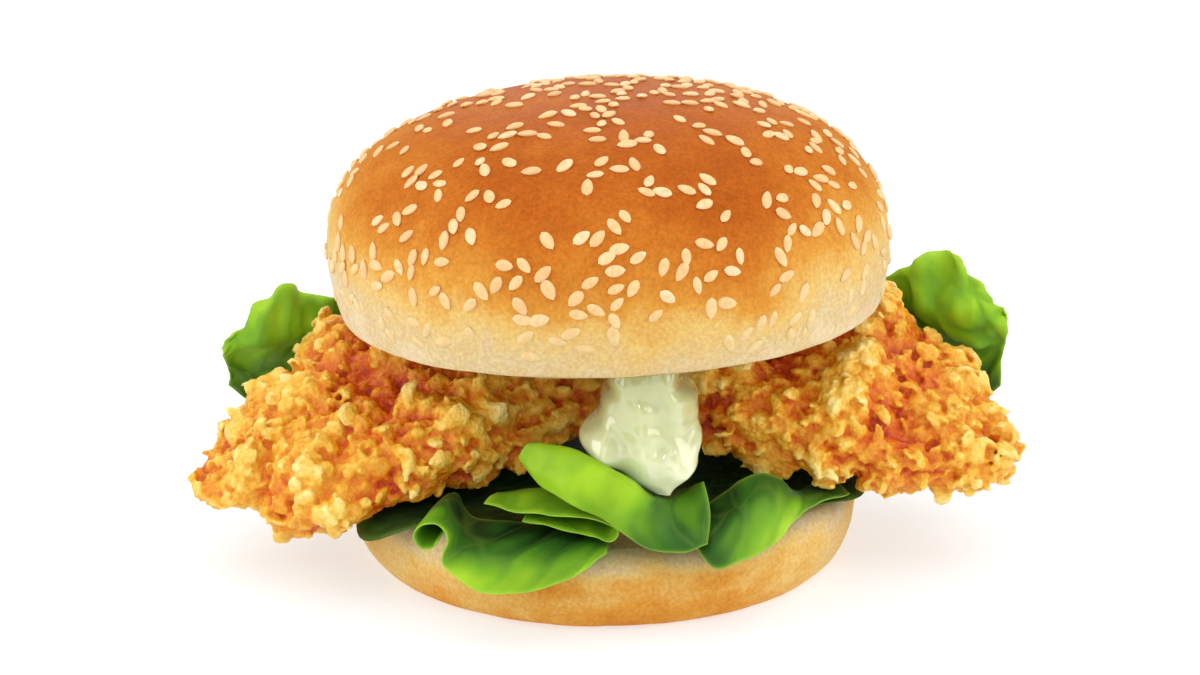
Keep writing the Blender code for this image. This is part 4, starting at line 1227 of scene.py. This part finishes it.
def front_fold_net():
    """The lobe folded back on itself above the front left leaf, with its bend at the right."""
    lip = [(-21.0, -42.0, 22.0), (-13.5, -46.5, 22.0), (-5.5, -49.4, 22.6), (0.4, -50.4, 22.0)]
    lip += [(2.9, -51.0, 20.4), (1.4, -51.4, 18.6), (-2.2, -50.4, 19.2), (-7.0, -48.8, 20.0)]
    lip += [(-14.0, -46.4, 20.4)]
    back = [(-19.0, -34.0, 20.6), (-11.5, -36.0, 22.4), (-4.0, -38.0, 22.9), (1.0, -40.0, 22.3)]
    back += [(3.0, -41.0, 20.7), (1.4, -41.0, 19.3), (-2.0, -40.5, 19.3), (-7.0, -39.5, 19.5)]
    back += [(-12.5, -38.0, 19.4)]
    middle = [tuple((Vector(a) + Vector(b)) / 2 + Vector((0, 0, 0.5))) for a, b in zip(lip, back)]
    return [lip, middle, back]


def front_middle_net():
    """The pale leaf under the mayonnaise that turns over its crest and hangs down in front."""
    root = [(-9.5, -36.0, 27.5), (-5.0, -36.0, 26.0), (0.0, -36.5, 24.6), (5.0, -37.0, 23.4)]
    root += [(9.0, -37.0, 22.6), (13.5, -36.5, 22.4), (17.5, -36.0, 22.4)]
    crest = [(-12.5, -41.5, 33.0), (-6.5, -44.5, 33.4), (-0.5, -47.6, 31.8), (5.0, -50.2, 29.2)]
    crest += [(9.0, -50.0, 25.6), (14.0, -43.6, 23.8), (18.0, -41.5, 26.0)]
    belly = [(-14.6, -42.0, 30.8), (-9.5, -46.5, 29.6), (-3.5, -50.2, 28.4), (2.5, -53.0, 25.8)]
    belly += [(8.5, -53.4, 22.0), (14.0, -50.5, 20.4), (19.0, -46.6, 22.0)]
    edge = [(-13.4, -42.5, 28.8), (-10.0, -45.8, 26.4), (-4.5, -49.6, 24.6), (1.5, -52.4, 22.4)]
    edge += [(7.5, -54.0, 18.6), (14.0, -53.6, 17.6), (18.2, -51.0, 17.9)]
    return [root, crest, belly, edge]


def front_right_net():
    """The leaf on the right of the front, whose tip hangs over the heel."""
    edge = [(16.0, -49.5, 17.7), (19.4, -53.4, 14.6), (24.0, -51.6, 15.0), (29.4, -47.0, 15.6)]
    edge += [(34.0, -40.0, 17.2), (38.5, -33.0, 17.9), (46.0, -26.0, 17.7)]
    middle = [(16.4, -46.0, 18.9), (20.2, -48.0, 19.7), (25.0, -46.8, 21.6), (29.5, -42.6, 22.2)]
    middle += [(33.4, -37.5, 20.8), (37.4, -30.5, 18.6), (44.5, -22.5, 17.9)]
    inner = [(16.8, -39.5, 20.0), (20.6, -39.4, 22.2), (24.8, -38.6, 25.0), (28.6, -36.6, 25.8)]
    inner += [(32.2, -33.4, 23.2), (35.8, -27.5, 18.8), (42.0, -19.5, 17.9)]
    return [edge, middle, inner]


def back_net(side, lift, reach, tuck):
    """The net of the ruffled leaf that rises past the bun at one side (-1 left, 1 right)."""
    levels = len(BACK_LEAF[0]) - 1
    net = []
    for level in range(levels):
        rise = level / (levels - 1)
        line = []
        for out, *points in BACK_LEAF:
            y, z = points[level]
            beside = max(0.0, out - BACK_SIDE_STARTS) / (BACK_SIDE_ENDS - BACK_SIDE_STARTS)
            spread = 1 + (reach - 1) * min(1.0, 2 * beside)
            overlap = max(0.0, 1 - (out - BACK_LEAF[0][0]) / (BACK_OVERLAP_ENDS - BACK_LEAF[0][0]))
            line.append((side * out * spread, y - tuck * overlap, z + lift * rise * min(1.0, 2.5 * beside)))
        net.append(line)
    return net


def back_leaf_grid(side, lift, reach, tuck, trees):
    """A back leaf: its net, ruffled, pushed clear of the strips and rounded at its end."""
    grid = net_grid(back_net(side, lift, reach, tuck), 21, 6)
    for row in range(len(grid)):
        share = row / (len(grid) - 1)
        for point in grid[row]:
            point[1] += BACK_RUFFLE * share * math.sin(math.tau * point[0] / BACK_RUFFLE_LENGTH + side)
            face = strips_face(trees, point[0], point[2], -1)
            if face is not None:
                point[1] = max(point[1], face + LEAF_LOOK_CLEARANCE)
    grid = net_grid(grid, 200, 52)
    near_end = np.clip(1 - np.linspace(0, 1, grid.shape[1]) / LEAF_END_SHARE, 0, 1) ** 2
    grid[:, :, 2] -= (grid[:, :, 2] - grid[:1, :, 2]) * LEAF_END_DROP * near_end[None]
    return grid


def arc_lengths(grid, axis):
    """Distance from the first point of each grid line, in millimetres."""
    steps = np.linalg.norm(np.diff(grid, axis=axis), axis=2)
    pad = [(0, 0), (0, 0)]
    pad[axis] = (1, 0)
    return np.cumsum(np.pad(steps, pad), axis=axis)


def grid_normals(grid, closed):
    """Unit normals of a grid of points."""
    if closed:
        along = np.roll(grid, -1, axis=1) - np.roll(grid, 1, axis=1)
    else:
        along = np.gradient(grid, axis=1)
    across = np.gradient(grid, axis=0)
    normals = np.cross(along, across)
    return normals / np.maximum(np.linalg.norm(normals, axis=2, keepdims=True), 1e-9)


def leaf_relief(grid, seed):
    """Blister height and vein strength at each point of a leaf, from its own flat coordinates."""
    along, across = arc_lengths(grid, 1), arc_lengths(grid, 0)
    heights, veins = np.zeros(grid.shape[:2]), np.zeros(grid.shape[:2])
    for row in range(grid.shape[0]):
        for column in range(grid.shape[1]):
            flat = Vector((along[row, column], across[row, column] * 0.7, seed * 9.0)) / BLISTER_SIZE
            flat += noise.noise_vector(flat * 1.3) * 0.25
            distances = noise.voronoi(flat)[0]
            gap = distances[1] - distances[0]
            veins[row, column] = max(0.0, 1 - gap / VEIN_WIDTH)
            swollen = 2 * min(gap, 0.5) - 0.5 + noise.noise(flat * 2.2) * 0.5
            heights[row, column] = BLISTER_HEIGHT * swollen
    return heights, veins


def crumpled(grid, normals, seed, look):
    """The grid with broad crumples all over and waves along its free edge."""
    along = arc_lengths(grid, 1)
    share = np.linspace(0, 1, grid.shape[0])[:, None]
    from_free = share if look["free"] == "first" else 1 - share
    near_edge = np.clip(1 - from_free / EDGE_WAVE_REACH, 0, 1) ** 1.5
    shift = Vector((seed, 0, 0))
    broad = np.array([[noise.noise(Vector(point) / CRUMPLE_SIZE + shift) for point in row] for row in grid])
    wave = look["wave"] * near_edge * np.sin(math.tau * along / EDGE_WAVE_LENGTH + seed * 2.0)
    return grid + normals * (look["crumple"] * broad + wave)[..., None]


def leaf_rim(rows, columns, closed):
    """The free edge of a leaf's grid of points as a closed walk of indices."""
    last = (rows - 1) * columns
    if closed:
        return [*range(last, last + columns), last]
    right = [row * columns + columns - 1 for row in range(1, rows)]
    back = list(range(last + columns - 2, last - 1, -1))
    return [*range(columns), *right, *back, *[row * columns for row in range(rows - 2, -1, -1)]]


def leaf_faces(rows, columns, closed):
    """Faces of a leaf's two skins and the strip round its rim."""
    count = rows * columns
    upper = grid_faces(rows, columns, closed)
    faces = upper + [tuple(index + count for index in reversed(face)) for face in upper]
    if closed:
        faces += [tuple(reversed(range(columns))), tuple(range(count, count + columns))]
    rim = leaf_rim(rows, columns, closed)
    sides = [(b, a, a + count, b + count) for a, b in zip(rim, rim[1:])]
    return faces + [side[::-1] if closed else side for side in sides]


def make_sheet(name, node, grid, seed, surface, look, closed=False):
    """A leaf: two skins half a thickness each side of a grid of points, joined round a thin rim."""
    rows, columns = grid.shape[:2]
    grid = crumpled(grid, grid_normals(grid, closed), seed, look)
    normals = grid_normals(grid, closed)
    heights, veins = leaf_relief(grid, seed)
    row_share, column_share = np.linspace(0, 1, rows), np.linspace(0, 1, columns)
    if closed:
        margin = (1 - row_share)[:, None] * rows + 0 * column_share[None]
    else:
        from_rows = np.minimum(row_share, 1 - row_share)[:, None] * rows
        margin = np.minimum(from_rows, np.minimum(column_share, 1 - column_share)[None] * columns)
    middle = grid + normals * (heights * look["relief"])[..., None]
    half = normals * (LOOK_THICKNESS / 2 * np.clip(margin / 3.0, 0.3, 1.0)[..., None])
    points = np.concatenate([(middle + half).reshape(-1, 3), (middle - half).reshape(-1, 3)])
    obj = mesh_object(name, points, leaf_faces(rows, columns, closed), surface)
    # Painted light and shade: brightness by rows and columns, with blister tops lighter than the hollows
    # between them
    light = curve_at(look["rows"], row_share)[:, None] * curve_at(look["columns"], column_share)[None]
    painted_leaf_light = np.clip(light + BLISTER_LIGHT_AND_SHADE * heights / BLISTER_HEIGHT, 0, 1).ravel()
    # Pale rim: partly the thin edge's own colour, partly a painted highlight along the edge; veins are the
    # leaf's own paler colour
    rim_highlight = RIM_HIGHLIGHT * (0.25 if closed else 1.0)
    pale = np.maximum(veins * VEIN_STRENGTH, rim_highlight * np.exp(-margin / RIM_HIGHLIGHT_ROWS)).ravel()
    store(obj, "painted_leaf_light", np.concatenate([painted_leaf_light, painted_leaf_light]))
    store(obj, "vein_and_rim_highlight", np.concatenate([pale, pale]))
    place(obj, "lettuce", node)


def make_lettuce(trees, surface):
    make_sheet("leaf_base", "lettuce_base", base_leaf_grid(), 1, surface, BASE_LOOK, closed=True)
    for name, net, along, across, seed, look in (
        ("front_left", front_left_net(), 170, 64, 2, FRONT_LEFT_LOOK),
        ("front_fold", front_fold_net(), 150, 44, 3, FRONT_FOLD_LOOK),
        ("front_middle", front_middle_net(), 130, 84, 4, FRONT_MIDDLE_LOOK),
        ("front_right", front_right_net(), 120, 54, 5, FRONT_RIGHT_LOOK),
    ):
        make_sheet(f"leaf_{name}", f"lettuce_{name}", net_grid(net, along, across), seed, surface, look)
    left = back_leaf_grid(-1, 0.0, 1.0, LEFT_LEAF_TUCK, trees)
    make_sheet("leaf_back_left", "lettuce_back_left", left, 6, surface, BACK_LOOK)
    right = back_leaf_grid(1, RIGHT_LEAF_LIFT, RIGHT_LEAF_REACH, 0.0, trees)
    make_sheet("leaf_back_right", "lettuce_back_right", right, 7, surface, BACK_LOOK)


# Mayonnaise


def mayo_bulge(x, z):
    """How far the mayonnaise's front swells at a place: level, flow folds and slanting creases."""
    slanted = z + MAYO_SLANT * (x - MAYO_MIDDLE_X)
    bulge = np.interp(slanted, *zip(*MAYO_BULGES))
    flow = noise.noise(Vector((x / MAYO_FLOW_WIDTH, 3.0, z / MAYO_FLOW_LENGTH)))
    crease = 1 - 2 * abs(noise.noise(Vector((x / 12.0, 8.0, slanted / MAYO_CREASE_SIZE))))
    return bulge + MAYO_FLOW * flow + MAYO_CREASE * crease


def make_mayo(trees, surface):
    """Mayonnaise that runs from under the crown down in front of the strips to the leaf, in soft folds."""
    levels = curve_through(MAYO_LEVELS, MAYO_RINGS)
    c, s = squircle(np.linspace(0, math.tau, MAYO_SIDES, endpoint=False), MAYO_SQUARENESS)
    points = []
    for z, left, right, front, deep in levels:
        left += MAYO_EDGE_WOBBLE * noise.noise(Vector((0, 3, z)) / 3.5)
        right += MAYO_EDGE_WOBBLE * noise.noise(Vector((7, 0, z)) / 3.5)
        for across, depth in zip(c, s):
            x = (left + right) / 2 + across * (right - left) / 2
            y = front + deep / 2 + depth * deep / 2
            if depth < 0:
                y += MAYO_FOLD * noise.noise(Vector((x, 0, z)) / MAYO_FOLD_SIZE)
                y -= mayo_bulge(x, z) * min(1.0, -depth * 1.5)
            face = strips_face(trees, x, z, 1)
            if face is not None:
                y = min(y, face - MAYO_CLEARANCE)
            points.append((x, y, min(z, crown_underside_z(x) - MAYO_ROOF_GAP)))
    faces = grid_faces(MAYO_RINGS, MAYO_SIDES, closed=True)
    last = MAYO_RINGS * MAYO_SIDES
    faces.append(tuple(range(MAYO_SIDES)))
    faces.append(tuple(reversed(range(last - MAYO_SIDES, last))))
    obj = mesh_object("mayonnaise_pour", points, [face[::-1] for face in faces], surface)
    top, tip = MAYO_LEVELS[0][0], MAYO_LEVELS[-1][0]
    store(obj, "low", [MAYO_LOW_PALER * (top - z) / (top - tip) for _, _, z in points])
    place(obj, "mayonnaise", "mayonnaise")


# Stage


def make_floor():
    """A plain pale floor under the burger."""
    reach = 4000.0
    corners = [(-reach, -reach, 0.0), (reach, -reach, 0.0), (reach, reach, 0.0), (-reach, reach, 0.0)]
    floor = mesh_object("floor", corners, [(0, 1, 2, 3)], floor_material())


def add_light(name, place_mm, size_mm, brightness):
    """A square soft light that faces the burger; brightness is its radiance."""
    data = bpy.data.lights.new(name, "AREA")
    data.size = size_mm * MM
    data.energy = math.pi * data.size**2 * brightness
    light = bpy.data.objects.new(name, data)
    bpy.context.scene.collection.objects.link(light)
    light.location = Vector(place_mm) * MM
    aim = Vector((0, 0, 40)) * MM - light.location
    light.rotation_euler = aim.to_track_quat("-Z", "Y").to_euler()


def make_lights():
    add_light("top_light", (0, 0, 2200), 3200, 1.25)
    add_light("left_light", (-750, -200, 380), 600, 2.8)
    add_light("right_light", (750, -200, 380), 600, 2.6)
    add_light("front_light", (-150, -950, 620), 500, 1.4)
    add_light("low_light", (0, -700, 60), 400, 1.2)
    add_light("back_light", (0, 900, 500), 600, 1.6)
    add_light("sparkle_light", (220, -620, 480), 70, 20.0)
    world = bpy.data.worlds.new("soft_studio")
    world.use_nodes = True
    background = world.node_tree.nodes["Background"]
    background.inputs["Color"].default_value = (1.0, 1.0, 1.0, 1.0)
    background.inputs["Strength"].default_value = 0.36
    bpy.context.scene.world = world


def make_camera():
    data = bpy.data.cameras.new("camera")
    data.lens = CAMERA_LENS
    data.sensor_width = CAMERA_SENSOR
    data.sensor_fit = "HORIZONTAL"
    camera = bpy.data.objects.new("camera", data)
    bpy.context.scene.collection.objects.link(camera)
    camera.location = Vector(CAMERA_PLACE) * MM
    aim = Vector(CAMERA_AIM) * MM - camera.location
    camera.rotation_euler = aim.to_track_quat("-Z", "Y").to_euler()
    bpy.context.scene.camera = camera


def strip_trees():
    """The part's own strips, to push leaves and mayonnaise clear of them as the part does."""
    graph = bpy.context.evaluated_depsgraph_get()
    return [BVHTree.FromObject(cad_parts[name], graph) for name in ("chicken_left", "chicken_right")]


def main():
    noise.seed_set(NOISE_DRAW)
    bpy.context.scene.view_settings.view_transform = "Standard"
    trees = strip_trees()
    bread, crumb = bun_material(), crust_material()
    make_camera()
    make_lights()
    make_floor()
    make_heel(bread)
    make_crown(bread, seed_material())
    make_strip("strip_left", "chicken_left", LEFT_SPINE, 2.0, -1, LEFT_FLAKES, crumb)
    make_strip("strip_right", "chicken_right", RIGHT_SPINE, 5.0, 1, RIGHT_FLAKES, crumb)
    make_lettuce(trees, leaf_material())
    make_mayo(trees, mayo_material())


main()
